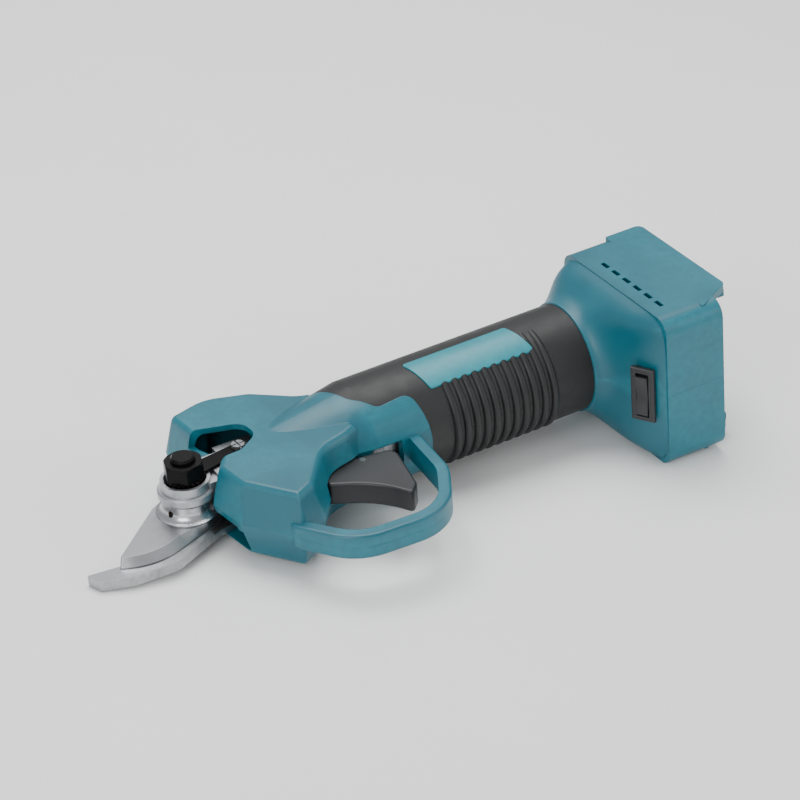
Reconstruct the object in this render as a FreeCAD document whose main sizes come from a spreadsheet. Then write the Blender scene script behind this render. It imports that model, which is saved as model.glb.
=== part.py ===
import FreeCAD, Part
import math
import os
import Sketcher

from FreeCAD import Placement, Rotation, Vector

# Battery electric pruner, lying on its flank.
# Tool axes while modelling: X runs along the handle from the blades (-X) to the battery foot (+X),
# Y points to the back of the hand (the trigger guard is on the -Y side), and Z is across the tool,
# so that the two housing halves part at z = 0. X = 0 is the rear face of the foot.

X_AXIS = Vector(1, 0, 0)
Y_AXIS = Vector(0, 1, 0)
Z_AXIS = Vector(0, 0, 1)
FAR = 400.0

SIZES = [
    # housing
    ("wall", 2.6),
    ("handle_radius", 23.5),
    ("neck_radius", 17.0),
    ("neck_start", -148.0),
    ("neck_end", -185.0),
    ("flare_start", -45.0),
    ("flare_lip", 0.6),
    ("flare_step", 0.3),
    ("rubber_depth", 1.6),
    ("head_half", 17.0),
    ("head_draft", 4.2),
    ("head_rounding", 3.0),
    ("guard_half", 5.4),
    ("guard_band", 5.2),
    ("foot_front", -28.0),
    ("foot_low_y", -52.5),
    ("foot_high_y", 24.0),
    ("foot_half", 35.0),
    ("foot_corner", 7.0),
    ("skirt_depth", 10.0),
    ("skirt_wall", 3.4),
    ("rail_lip", 3.0),
    ("rail_room", 7.0),
    ("vent_count", 6),
    ("vent_pitch", 7.9),
    ("vent_length", 4.8),
    ("vent_width", 1.9),
    ("vent_x", -21.0),
    ("boss_radius", 3.6),
    ("screw_radius", 1.5),
    ("screw_head_radius", 2.9),
    ("rib_count", 11),
    ("rib_pitch", 4.7),
    ("rib_first_x", -111.5),
    ("rib_radius", 1.7),
    ("badge_depth", 1.0),
    ("badge_proud", 0.5),
    # blades and their pivot
    ("pivot_x", -224.5),
    ("bolt_radius", 5.0),
    ("bolt_head_radius", 8.6),
    ("bolt_head_height", 4.2),
    ("nut_flats", 15.0),
    ("nut_height", 6.6),
    ("bolt_end", 2.2),
    ("blade_top", -5.5),
    ("blade_thickness", 3.5),
    ("blade_land", 0.5),
    ("bevel_width", 3.8),
    ("hook_thickness", 4.4),
    ("blade_gap", 0.1),
    ("hub_top", 0.7),
    ("hub_radius", 10.0),
    ("hub_base_radius", 13.0),
    ("bush_radius", 7.0),
    ("eye_radius", 10.2),
    ("flange_radius", 11.7),
    ("flange_top", 5.6),
    ("eye_bottom", 1.75),
    ("eye_seat", 8.5),
    ("case_top", 9.5),
    ("lock_thickness", 2.4),
    ("lock_arm_thickness", 1.4),
    ("lock_radius", 8.5),
    ("lock_teeth", 24),
    ("lock_screw_x", -197.5),
    ("lock_screw_y", 5.0),
    ("lock_screw_radius", 1.5),
    # bevel drive
    ("sector_radius", 25.0),
    ("pinion_teeth", 12),
    ("sector_teeth", 48),
    ("bevel_face", 6.0),
    ("sector_first_tooth", -1),
    ("sector_last_tooth", 8),
    ("sector_bottom", -10.2),
    ("tongue_radius", 18.5),
    ("tongue_thickness", 1.7),
    ("hook_boss_radius", 13.2),
    ("hook_tail_top", -10.6),
    ("hook_tail_end", -184.0),
    ("hook_screw_radius", 2.0),
    ("rivet_radius", 1.5),
    ("shaft_radius", 4.0),
    ("shaft_nose_radius", 2.5),
    ("bearing_outer", 8.0),
    ("bearing_width", 5.0),
    ("case_tube_radius", 11.5),
    ("case_half_width", 13.0),
    ("case_nose_half", 9.2),
    ("case_front", -212.5),
    ("case_rear", -160.3),
    # planetary gearbox
    ("gear_module", 0.6),
    ("sun_teeth", 12),
    ("planet_teeth", 18),
    ("ring_teeth", 48),
    ("planet_count", 3),
    ("planet_length", 10.0),
    ("planet_pin_radius", 1.5),
    ("carrier_radius", 13.2),
    ("carrier_thickness", 3.0),
    ("gearbox_radius", 17.5),
    ("gearbox_screw_radius", 0.9),
    # motor
    ("motor_length", 46.0),
    ("motor_can_wall", 1.3),
    ("end_plate", 4.0),
    ("motor_shaft_radius", 2.5),
    ("sun_bore_radius", 2.0),
    ("motor_bearing_outer", 6.5),
    ("rotor_radius", 9.5),
    ("magnet_thickness", 1.5),
    ("stator_bore", 11.6),
    ("stator_teeth", 9),
    ("stack_length", 34.0),
    # trigger
    ("trigger_x", -170.0),
    ("trigger_y", -18.5),
    ("trigger_half", 5.0),
    ("trigger_pin_radius", 1.6),
    ("trigger_slot_gap", 0.6),
    # electronics and battery interface
    ("board_thickness", 1.6),
    ("terminal_proud", 5.5),
    ("contact_thickness", 0.8),
    ("rocker_length", 18.0),
    ("rocker_width", 5.2),
    ("rocker_depth", 4.0),
    # shared clearances
    ("fit", 0.03),
    ("gap", 0.4),
]

doc = FreeCAD.newDocument("pruner")
sheet = doc.addObject("Spreadsheet::Sheet", "Sizes")
for row, (alias, value) in enumerate(SIZES, start=1):
    sheet.set(f"A{row}", alias)
    sheet.set(f"B{row}", str(value))
    sheet.setAlias(f"B{row}", alias)
doc.recompute()

PARTS = []


def size(alias):
    """The value of one driving dimension, in millimetres."""
    return float(sheet.get(alias))


def count(alias):
    """The value of a whole number on the sheet."""
    return int(round(size(alias)))


def bind(obj, prop, formula):
    """Ties a property to the sheet; $name in the formula is a cell's alias."""
    words = formula.replace("$", "Sizes.")
    obj.setExpression(prop, words)


def finish(obj, label):
    """Registers a finished sub-part under its own label."""
    obj.Label = label
    PARTS.append(obj)
    return obj


def feature(label, shape):
    """A sub-part whose shape is worked out in code from the sheet."""
    obj = doc.addObject("Part::Feature", label)
    obj.Shape = shape
    return finish(obj, label)


# ---------------------------------------------------------------- primitives


def cylinder(name, radius, height, base, direction):
    """A Part::Cylinder with its radius and height bound to the sheet."""
    obj = doc.addObject("Part::Cylinder", name)
    bind(obj, "Radius", radius)
    bind(obj, "Height", height)
    obj.Placement = Placement(base, Rotation(Z_AXIS, direction))
    return obj


def cone(name, radius_1, radius_2, height, base, direction):
    """A Part::Cone with its radii and height bound to the sheet."""
    obj = doc.addObject("Part::Cone", name)
    bind(obj, "Radius1", radius_1)
    bind(obj, "Radius2", radius_2)
    bind(obj, "Height", height)
    obj.Placement = Placement(base, Rotation(Z_AXIS, direction))
    return obj


def box(name, length, width, height, corner):
    """A Part::Box with its three sides bound to the sheet."""
    obj = doc.addObject("Part::Box", name)
    bind(obj, "Length", length)
    bind(obj, "Width", width)
    bind(obj, "Height", height)
    obj.Placement = Placement(corner, Rotation())
    return obj


def cut(name, base, tool):
    """A Part::Cut of two document objects."""
    obj = doc.addObject("Part::Cut", name)
    obj.Base = base
    obj.Tool = tool
    return obj


def fuse(name, pieces):
    """A Part::MultiFuse of document objects."""
    obj = doc.addObject("Part::MultiFuse", name)
    obj.Shapes = pieces
    return obj


def ring(name, outer, inner, height, base, direction):
    """A plain ring: one cylinder less another."""
    solid = cylinder(name + "_solid", outer, height, base, direction)
    hole = cylinder(name + "_hole", inner, height, base, direction)
    return cut(name, solid, hole)


# ------------------------------------------------------------- plain shapes


def solid_box(low, high):
    """A box shape between two corners."""
    low = Vector(*low)
    span = Vector(*high) - low
    return Part.makeBox(span.x, span.y, span.z, low)


def rod(radius, start, end):
    """A cylinder shape from one point to another."""
    start = Vector(*start)
    way = Vector(*end) - start
    return Part.makeCylinder(radius, way.Length, start, way)


def prism(wire, height):
    """The solid over a flat closed wire, raised along Z."""
    return Part.Face(wire).extrude(Vector(0, 0, height))


def mirrored(shape):
    """The same shape on the other side of the parting plane."""
    return shape.mirror(Vector(0, 0, 0), Z_AXIS)


def corner_point(before, corner, after, inset):
    """A corner of a counter-clockwise outline after its sides move inwards by inset."""
    into = (corner - before).normalize()
    out = (after - corner).normalize()
    normal_in = Vector(-into.y, into.x, 0)
    normal_out = Vector(-out.y, out.x, 0)
    middle = (normal_in + normal_out).normalize()
    return corner + middle * (inset / middle.dot(normal_in))


def round_outline(corners, inset=0.0, z=0.0):
    """A closed wire through (x, y, radius) corners, counter-clockwise, with each corner rounded."""
    points = [Vector(x, y, z) for x, y, radius in corners]
    total = len(points)
    moved = []
    for i in range(total):
        moved.append(corner_point(points[i - 1], points[i], points[(i + 1) % total], inset))
    edges = []
    starts = []
    ends = []
    for i in range(total):
        into = (moved[i] - moved[i - 1]).normalize()
        out = (moved[(i + 1) % total] - moved[i]).normalize()
        turn = math.atan2(into.cross(out).z, into.dot(out))
        radius = corners[i][2] - inset * math.copysign(1.0, turn)
        radius = max(radius, 0.6)
        reach = radius * math.tan(abs(turn) / 2)
        start = moved[i] - into * reach
        end = moved[i] + out * reach
        inwards = (out - into).normalize()
        middle = moved[i] + inwards * (radius / math.cos(turn / 2) - radius)
        starts.append(start)
        ends.append(end)
        edges.append(Part.Arc(start, middle, end).toShape())
    path = []
    for i in range(total):
        path.append(Part.LineSegment(ends[i - 1], starts[i]).toShape())
        path.append(edges[i])
    return Part.Wire(path)


def flare_points(centre, half_y, half_z, inset, x, share):
    """Points round a section of the foot; share 0 is the handle's circle, 1 the rounded box."""
    handle = size("handle_radius") - inset
    points = []
    for step in range(48):
        angle = 2 * math.pi * step / 48
        c = math.cos(angle)
        s = math.sin(angle)
        power = 2 + 6 * share
        reach = (abs(c) ** power + abs(s) ** power) ** (-1 / power)
        y = centre * share + c * reach * (handle + (half_y - handle) * share)
        z = s * reach * (handle + (half_z - handle) * share)
        points.append(Vector(x, y, z))
    return points


# ------------------------------------------------------------------ housing

HEAD = [
    (-218.5, -10.5, 2.0),
    (-216.5, -29.0, 8.0),
    (-200.0, -54.0, 4.0),
    (-187.0, -47.0, 8.0),
    (-172.0, -27.5, 14.0),
    (-160.0, -24.5, 14.0),
    (-151.0, -20.0, 3.0),
    (-151.0, 17.0, 3.0),
    (-161.0, 21.0, 10.0),
    (-176.0, 34.5, 16.0),
    (-196.0, 42.5, 22.0),
    (-217.0, 37.0, 6.0),
    (-215.5, 14.0, 3.0),
    (-211.0, 0.0, 3.0),
]

GUARD = [
    (-200.0, -40.0, 3.0),
    (-204.0, -50.0, 8.0),
    (-188.0, -74.5, 24.0),
    (-146.0, -77.0, 24.0),
    (-131.5, -50.0, 22.0),
    (-128.0, -14.0, 3.0),
    (-150.0, -8.0, 3.0),
]

NOTCH = [
    (-240.0, -7.5, 1.0),
    (-201.0, -6.0, 8.0),
    (-191.0, 1.0, 7.0),
    (-191.5, 11.5, 7.0),
    (-211.0, 18.5, 7.0),
    (-240.0, 17.0, 1.0),
]

RUBBER = [
    (-45.1, -30.0, 1.0),
    (-45.1, 30.0, 1.0),
    (-159.5, 30.0, 1.0),
    (-159.5, 14.0, 6.0),
    (-152.0, -6.0, 9.0),
    (-143.0, -14.0, 5.0),
    (-128.0, -13.0, 5.0),
    (-121.0, -30.0, 1.0),
]

BADGE = [
    (-122.5, 1.0, 1.2),
    (-118.0, -14.5, 1.2),
    (-68.0, -14.5, 1.2),
    (-73.0, 1.0, 1.2),
]

SCREW_PLACES = [(-203.0, 30.0), (-196.0, -42.0), (-178.0, 25.0), (-11.0, 15.0), (-11.0, -44.0)]


def head_prism(inset, half):
    """The tapered upper half of the head, from z = 0 to its flank, with the flank's edge rounded."""
    rounding = size("head_rounding")
    straight = half - rounding
    wires = [round_outline(HEAD, inset, 0.0)]
    for step in range(5):
        angle = math.radians(22.5 * step)
        z = straight + rounding * math.sin(angle)
        lean = size("head_draft") * z / half + rounding * (1 - math.cos(angle)) * 0.7
        wires.append(round_outline(HEAD, inset + lean, z))
    return Part.makeLoft(wires, True, True)


def handle_outside(inset):
    """The turned handle and the neck that tapers into the head."""
    full = size("handle_radius") - inset
    slim = size("neck_radius") - inset
    start = size("neck_start")
    end = size("neck_end")
    flare = size("flare_start")
    barrel = rod(full, (start, 0, 0), (flare + 2.0 + inset, 0, 0))
    neck = Part.makeCone(slim, full, start - end, Vector(end, 0, 0), X_AXIS)
    return barrel.fuse(neck).removeSplitter()


def foot_wire(inset, x):
    """The rounded box of the foot, as a wire across X."""
    low = size("foot_low_y") + inset
    high = size("foot_high_y") - inset
    half = size("foot_half") - inset
    radius = size("foot_corner") - inset
    flat = round_outline([
        (low, -half, radius),
        (high, -half, radius),
        (high, half, radius),
        (low, half, radius),
    ])
    turn = Placement(Vector(x, 0, 0), Rotation(Vector(1, 1, 1), 120))
    flat.Placement = turn
    return flat


def foot_outside(inset):
    """The flare from the handle's circle to the foot's box, and the box itself."""
    start = size("flare_start") + inset / 2
    front = size("foot_front")
    low = size("foot_low_y") + inset
    high = size("foot_high_y") - inset
    half = size("foot_half") - inset
    wires = []
    for part_way, share in ((0.0, 0.0), (0.18, 0.04), (0.45, 0.3), (0.75, 0.76), (1.0, 1.0)):
        x = start + (front + 0.6 - start) * part_way
        lip = size("flare_lip") * (1 - share) - size("flare_step") * share
        middle = (low + high) / 2
        points = flare_points(middle, (high - low) / 2 + lip, half + lip, inset - lip, x, share)
        curve = Part.BSplineCurve()
        curve.interpolate(points, PeriodicFlag=True)
        wires.append(Part.Wire(curve.toShape()))
    flare = Part.makeLoft(wires, True, False)
    block = Part.Face(foot_wire(inset, front)).extrude(Vector(-front - inset, 0, 0))
    return flare.fuse(block)


def guard_band():
    """The upper half of the trigger guard: a flat band round the finger gap."""
    outer = prism(round_outline(GUARD), size("guard_half"))
    rim = [e for e in outer.Edges if min(v.Point.z for v in e.Vertexes) > size("guard_half") - 0.01]
    outer = outer.makeFillet(1.2, rim)
    inner = prism(round_outline(GUARD, size("guard_band")), size("guard_half"))
    return outer.cut(inner)


def skirt():
    """The upper side wall behind the foot, which covers the battery's shoulder, with its rail lip."""
    half = size("foot_half")
    low = half - size("skirt_wall")
    depth = size("skirt_depth")
    outline = [
        (-8.0, size("foot_low_y") + 3.0, 1.0),
        (depth, -39.5, 3.0),
        (depth, size("foot_high_y") - 1.3, 3.0),
        (-8.0, size("foot_high_y") - 1.3, 1.0),
    ]
    side = prism(round_outline(outline, 0.0, low), size("skirt_wall"))
    rail = solid_box(
        (size("rail_room"), -39.0, low - size("rail_lip")),
        (depth, size("foot_high_y") - 1.6, low + 0.1),
    )
    return side.fuse(rail)


def end_stop():
    """The wall at the back-of-hand end of the foot, which the battery slides up against."""
    high = size("foot_high_y") - 1.6
    return solid_box((-1.0, high - 3.0, 0.0), (size("skirt_depth"), high, size("foot_half") - 1.0))


def rubber_room(proud):
    """The skin of the handle that the soft grip fills, upper half, with its outside raised by proud."""
    skin = handle_outside(-proud).cut(handle_outside(size("rubber_depth")))
    region = prism(round_outline(RUBBER, 0.0), FAR / 8)
    return skin.common(region)


def case_window():
    """The opening in the front wall that the gear case reaches out of."""
    narrow = size("case_nose_half") + size("gap")
    top = size("case_top") + size("gap")
    return solid_box((-240.0, -narrow, size("blade_top") + 0.5), (-203.0, narrow, top))


def bosses():
    """The upper screw posts, from z = 0 to the roof."""
    posts = []
    for x, y in SCREW_PLACES:
        roof = size("head_half") if x < -100 else size("foot_half")
        posts.append(rod(size("boss_radius"), (x, y, 0), (x, y, roof - 1.0)))
    return posts


def cavity():
    """The hollow of the upper half: head, handle, foot and the room for the gearbox and motor."""
    wall = size("wall")
    head = head_prism(wall, size("head_half") - wall)
    handle = handle_outside(size("rubber_depth") + wall)
    handle = handle.common(solid_box((-165, -FAR, 0), (FAR, FAR, FAR)))
    foot = foot_outside(wall)
    drive = rod(size("gearbox_radius") + 0.3, (size("case_rear") - 5.5, 0, 0), (-86.0, 0, 0))
    return head.fuse([handle, foot, drive])


def ribs():
    """Ribs that hold the motor and the gear case's tube, and the seats of the trigger's pin."""
    inner = rod(size("gearbox_radius") + size("fit"), (-150, 0, 0), (-80, 0, 0))
    pieces = []
    for x in (-122.0, -102.0):
        band = rod(size("handle_radius") - 3.0, (x, 0, 0), (x + 2.0, 0, 0))
        pieces.append(band.cut(inner).common(solid_box((-FAR, -9, 0), (FAR, 30, FAR))))
    saddle = solid_box((-182.0, -13.0, 0), (-180.0, 13.0, size("head_half") - 1.0))
    tube = rod(size("case_tube_radius") + size("fit"), (-190, 0, 0), (-170, 0, 0))
    pieces.append(saddle.cut(tube))
    x = size("trigger_x")
    y = size("trigger_y")
    low = size("trigger_half") + size("trigger_slot_gap")
    pieces.append(rod(size("boss_radius"), (x, y, low), (x, y, size("head_half") - 1.5)))
    return pieces


def only_solid(shape):
    """The one solid of a shape, which must not have fallen apart."""
    if len(shape.Solids) != 1:
        raise ValueError(f"{len(shape.Solids)} solids in place of one")
    return shape.Solids[0]


def half_shell(extra):
    """The half above z = 0 with everything that both halves share, and extra posts."""
    shell = head_prism(0.0, size("head_half"))
    shell = shell.fuse([handle_outside(0.0), foot_outside(0.0), guard_band()])
    shell = shell.cut(cavity())
    shell = shell.fuse([skirt(), end_stop()] + bosses() + ribs() + extra)
    pin = rod(size("trigger_pin_radius") + size("fit"),
              (size("trigger_x"), size("trigger_y"), -10), (size("trigger_x"), size("trigger_y"), 9.2))
    shell = shell.cut(pin)
    return only_solid(shell.common(solid_box((-FAR, -FAR, 0), (FAR, FAR, FAR))))


def screw_holes(shell, side):
    """Drills the posts: plain pilot holes above, through holes with head pockets below."""
    for x, y in SCREW_PLACES:
        roof = size("head_half") if x < -100 else size("foot_half")
        if side > 0:
            hole = rod(size("screw_radius") + size("fit"), (x, y, -1), (x, y, roof - 4.0))
        else:
            hole = rod(size("screw_radius") + 0.2, (x, y, 1), (x, y, -roof - 1))
            seat = rod(size("screw_head_radius") + 0.3, (x, y, -roof - 1), (x, y, -screw_seat(roof)))
            hole = hole.fuse(seat)
        shell = shell.cut(hole)
    return shell


def screw_seat(roof):
    """How far below z = 0 a housing screw's head rests."""
    return max(roof - 7.0, roof / 2)


def trigger_slot():
    """The opening in the belly wall that the trigger moves in."""
    half = size("trigger_half") + size("trigger_slot_gap")
    return solid_box((-178.5, -48.0, -half), (-137.5, -19.0, half))


def rocker_frame():
    """The placement of the switch: Z across the tool, X out of the foot's sloping front."""
    out = Vector(-0.86, -0.51, 0).normalize()
    across = Z_AXIS.cross(out)
    turn = Rotation(out, across, Z_AXIS, "XYZ")
    return Placement(Vector(-35.0, -44.5, 0), turn)


def switch_pocket():
    """The hole for the switch body in the foot's sloping front, with a seat for its rim."""
    half_y = size("rocker_width") / 2 + 1.5
    half_z = size("rocker_length") / 2 + 2.4
    rim = 1.4
    hole = solid_box((-14.0, -half_y, -half_z), (8.0, half_y, half_z))
    seat = solid_box((-1.2, -half_y - rim, -half_z - rim), (8.0, half_y + rim, half_z + rim))
    hole = hole.fuse(seat)
    hole.Placement = rocker_frame()
    return hole


def terminal_window(room):
    """The block-sized opening in the rear wall of the foot."""
    return solid_box((-FAR / 40, -30.0 - room, -14.0 - room), (1.0, 2.0 + room, 14.0 + room))


def vents():
    """The row of short slots in the flank of the foot."""
    slots = []
    for i in range(count("vent_count")):
        y = 2.5 - i * size("vent_pitch")
        x = size("vent_x")
        half_x = size("vent_width") / 2
        half_y = size("vent_length") / 2
        slots.append(solid_box((x - half_x, y - half_y, 20), (x + half_x, y + half_y, FAR)))
    return slots


def badge_skin(inset, proud):
    """A thin piece of the handle's skin inside the badge's outline."""
    skin = handle_outside(-proud).cut(handle_outside(size("badge_depth")))
    return skin.common(prism(round_outline(BADGE, inset), FAR / 8))


def hub_room():
    """The round space that the housing leaves for the hub, the eye and the bolt."""
    radius = size("flange_radius") + 0.9
    return rod(radius, (size("pivot_x"), 0, -FAR), (size("pivot_x"), 0, FAR))


def board_screw_places():
    """Where four screws hold the controller board."""
    return [(-72.0, -12.3), (-72.0, 12.3), (-60.0, -12.3), (-60.0, 12.3)]


def board_bottom():
    """The height of the controller board's underside."""
    return -1.0


def board_posts():
    """The posts in the lower half that carry the controller board."""
    reach = size("handle_radius") - size("rubber_depth") - 4.5
    posts = []
    for x, y in board_screw_places():
        post = rod(2.6, (x, y, board_bottom() - 0.04), (x, y, -reach))
        posts.append(post.cut(rod(1.2 + size("fit"), (x, y, 0), (x, y, -9.5))))
    return posts


def sensor_pocket():
    """The recess in the belly wall for the trigger's sensor board."""
    return solid_box((-166.4, -20.6, 5.55), (-149.6, -17.0, 7.1))


def carve(shell, rooms):
    """Cuts rooms out of a shell one after another, and checks that each cut leaves one solid."""
    for number, room in enumerate(rooms):
        shell = carve_one(shell, room, number)
    return shell


def carve_one(shell, room, number):
    """One cut, tried with the smallest tolerance that gives a sound result."""
    for tolerance in (0.0, 1e-5, 1e-4, 1e-3):
        left = shell.cut([room], tolerance)
        sound = not left.isNull() and left.isValid() and len(left.Solids) == 1
        if sound and left.Volume < shell.Volume - 0.01:
            return left.Solids[0]
    raise ValueError(f"room {number} leaves no sound shell")


def upper_housing():
    """The half on the nut's side, with the pocket for the nut and its lock plate."""
    shell = half_shell([])
    pocket = prism(round_outline(NOTCH, 0.0, size("case_top") - 0.2), FAR)
    rooms = [hub_room(), pocket, case_window(), trigger_slot(), switch_pocket()]
    rooms += [terminal_window(0.3), sensor_pocket(), rubber_room(1.0)]
    shell = carve(shell, rooms + vents())
    return screw_holes(shell, 1)


def lower_housing():
    """The half on the bolt's side, with the slot that the blades come out of."""
    shell = mirrored(half_shell([mirrored(post) for post in board_posts()]))
    slot_top = size("blade_top") + 0.8
    slot_bottom = size("blade_top") - size("blade_thickness") - size("hook_thickness") - 1.0
    slot = solid_box((-240.0, -29.0, slot_bottom), (-203.0, 16.0, slot_top))
    sweep = rod(size("sector_radius") + 2.4, (size("pivot_x"), 0, size("sector_bottom") - 0.5),
                (size("pivot_x"), 0, -3.4))
    rooms = [hub_room(), slot, sweep, case_window(), trigger_slot(), switch_pocket()]
    rooms += [terminal_window(0.3), mirrored(rubber_room(1.0))]
    shell = carve(shell, rooms + [mirrored(v) for v in vents()])
    return screw_holes(shell, -1)


def grip_ribs():
    """The round ribs on the belly side of the grip, which fade out towards the flank."""
    ribs = []
    shift = 1.5
    radius = size("handle_radius") - shift
    for i in range(count("rib_count")):
        x = size("rib_first_x") + i * size("rib_pitch")
        ribs.append(Part.makeTorus(radius, size("rib_radius"), Vector(x, -shift, 0), X_AXIS))
    return ribs


def soft_grip():
    """The upper half of the rubber, with its ribs."""
    skin = rubber_room(0.0)
    keep = prism(round_outline(RUBBER, 2.0), FAR / 8)
    belly = solid_box((-FAR, -FAR, 0), (FAR, -6.0, FAR))
    core = handle_outside(size("rubber_depth"))
    for rib in grip_ribs():
        skin = skin.fuse(rib.common(keep).common(belly).cut(core))
    return skin.removeSplitter()


def screw_group(places, radius, head_radius, head_height, top, seat):
    """Screws that all point to +Z: a shank up to top and a head below seat, one solid each."""
    solids = []
    for x, y in places:
        shank = rod(radius, (x, y, seat), (x, y, top))
        head = rod(head_radius, (x, y, seat - head_height), (x, y, seat))
        solids.append(shank.fuse(head).removeSplitter())
    return solids


def housing_screws():
    """All the screws that hold the two halves together."""
    solids = []
    for x, y in SCREW_PLACES:
        roof = size("head_half") if x < -100 else size("foot_half")
        seat = -screw_seat(roof)
        args = ([(x, y)], size("screw_radius"), size("screw_head_radius"), 2.2)
        solids += screw_group(*args, min(roof - 5.0, 12.0), seat)
    return Part.makeCompound(solids)


# ------------------------------------------------------------------- blades


def sketch_on(body, name, z):
    """A sketch in a body, parallel to its XY plane at height z."""
    plane = [f for f in body.Origin.OriginFeatures if f.Role == "XY_Plane"][0]
    sketch = body.newObject("Sketcher::SketchObject", name)
    sketch.AttachmentSupport = [(plane, "")]
    sketch.MapMode = "FlatFace"
    sketch.AttachmentOffset = Placement(Vector(0, 0, z), Rotation())
    return sketch


def add_wire(sketch, wire):
    """Copies the lines and arcs of a flat wire into a sketch."""
    for edge in wire.Edges:
        first = edge.valueAt(edge.FirstParameter)
        last = edge.valueAt(edge.LastParameter)
        first.z = 0
        last.z = 0
        if isinstance(edge.Curve, Part.Circle):
            middle = edge.valueAt((edge.FirstParameter + edge.LastParameter) / 2)
            middle.z = 0
            sketch.addGeometry(Part.Arc(first, middle, last), False)
        elif first.distanceToPoint(last) > 1e-4:
            sketch.addGeometry(Part.LineSegment(first, last), False)


def add_hole(sketch, x, y, radius_formula):
    """A round hole in a sketch, with its radius bound to the sheet."""
    index = sketch.addGeometry(Part.Circle(Vector(x, y, 0), Z_AXIS, 1.0), False)
    number = sketch.addConstraint(Sketcher.Constraint("Radius", index, 1.0))
    bind(sketch, f"Constraints[{number}]", radius_formula)


def plate(label, outline, z, thickness_formula, holes):
    """A PartDesign plate: an outline of lines and arcs, padded upwards from z, with round holes."""
    body = doc.addObject("PartDesign::Body", label)
    sketch = sketch_on(body, label + "_outline", z)
    add_wire(sketch, outline)
    for x, y, radius in holes:
        add_hole(sketch, x, y, radius)
    pad = body.newObject("PartDesign::Pad", label + "_pad")
    pad.Profile = sketch
    bind(pad, "Length", thickness_formula)
    doc.recompute()
    return body


def ring_sector(inner, outer, start_angle, end_angle):
    """A flat wire round part of a ring about the pivot, angles in degrees."""
    centre = Vector(size("pivot_x"), 0, 0)

    def at(radius, angle):
        turn = math.radians(angle)
        return centre + Vector(math.cos(turn), math.sin(turn), 0) * radius

    middle = (start_angle + end_angle) / 2
    return Part.Wire([
        Part.Arc(at(outer, start_angle), at(outer, middle), at(outer, end_angle)).toShape(),
        Part.LineSegment(at(outer, end_angle), at(inner, end_angle)).toShape(),
        Part.Arc(at(inner, end_angle), at(inner, middle), at(inner, start_angle)).toShape(),
        Part.LineSegment(at(inner, start_angle), at(outer, start_angle)).toShape(),
    ])


def pocket_step(body, wire, z, depth_formula, upwards):
    """Cuts a step into a plate from height z, and checks that it did cut."""
    before = body.Shape.Volume
    sketch = sketch_on(body, body.Name + "_step", z)
    add_wire(sketch, wire)
    step = body.newObject("PartDesign::Pocket", body.Name + "_pocket")
    step.Profile = sketch
    step.Reversed = upwards
    bind(step, "Length", depth_formula)
    doc.recompute()
    if body.Shape.Volume > before - 1.0:
        raise ValueError(body.Name + ": the step cuts nothing")


def around_pivot(corners):
    """Outline corners given from the pivot, moved to where the pivot is."""
    return [(size("pivot_x") + x, y, radius) for x, y, radius in corners]


def blade_corners(bevel):
    """The blade's outline from the pivot; the cutting side is drawn in by the width of the bevel."""
    tongue = size("tongue_radius") - 0.3
    first, last = sector_span()
    corners = [
        (-40.0 + 0.45 * bevel, -17.2 + 0.55 * bevel, 0.8),
        (-26.0, -24.0 + bevel, 26.0),
        (-9.0 - 0.35 * bevel, -17.5 + 0.85 * bevel, 16.0),
        (2.0, -13.4, 6.0),
    ]
    for step in range(4):
        angle = math.radians(first + (last - first) * step / 3)
        corners.append((tongue * math.cos(angle), tongue * math.sin(angle), 5.0))
    return corners + [(-3.0, 13.6, 8.0), (-12.2, 8.4, 9.0)]


def moving_blade():
    """The cutting blade: a bevelled plate with a thin tongue that carries the toothed sector."""
    bottom = size("blade_top") - size("blade_thickness")
    land = size("blade_land")
    full = round_outline(around_pivot(blade_corners(0.0)))
    ground = round_outline(around_pivot(blade_corners(size("bevel_width"))))
    body = plate("moving_blade", full, bottom, "$blade_land", [])
    low = sketch_on(body, "blade_land_edge", bottom + land)
    add_wire(low, full)
    high = sketch_on(body, "blade_ground_edge", size("blade_top"))
    add_wire(high, ground)
    slope = body.newObject("PartDesign::AdditiveLoft", "blade_slope")
    slope.Profile = low
    slope.Sections = [high]
    slope.Ruled = True
    doc.recompute()
    sketch = sketch_on(body, "blade_bore", bottom)
    add_hole(sketch, size("pivot_x"), 0, "$bush_radius")
    for x, y in sector_screw_places():
        add_hole(sketch, x, y, "$rivet_radius + $fit")
    bore = body.newObject("PartDesign::Pocket", "blade_bore_cut")
    bore.Profile = sketch
    bore.Reversed = True
    bind(bore, "Length", "$blade_thickness + 1")
    first, last = sector_span()
    wedge = ring_sector(size("hook_boss_radius") + 0.4, 40.0, first - 12.0, last + 9.0)
    pocket_step(body, wedge, bottom, "$blade_thickness - $tongue_thickness", True)
    return body


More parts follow.
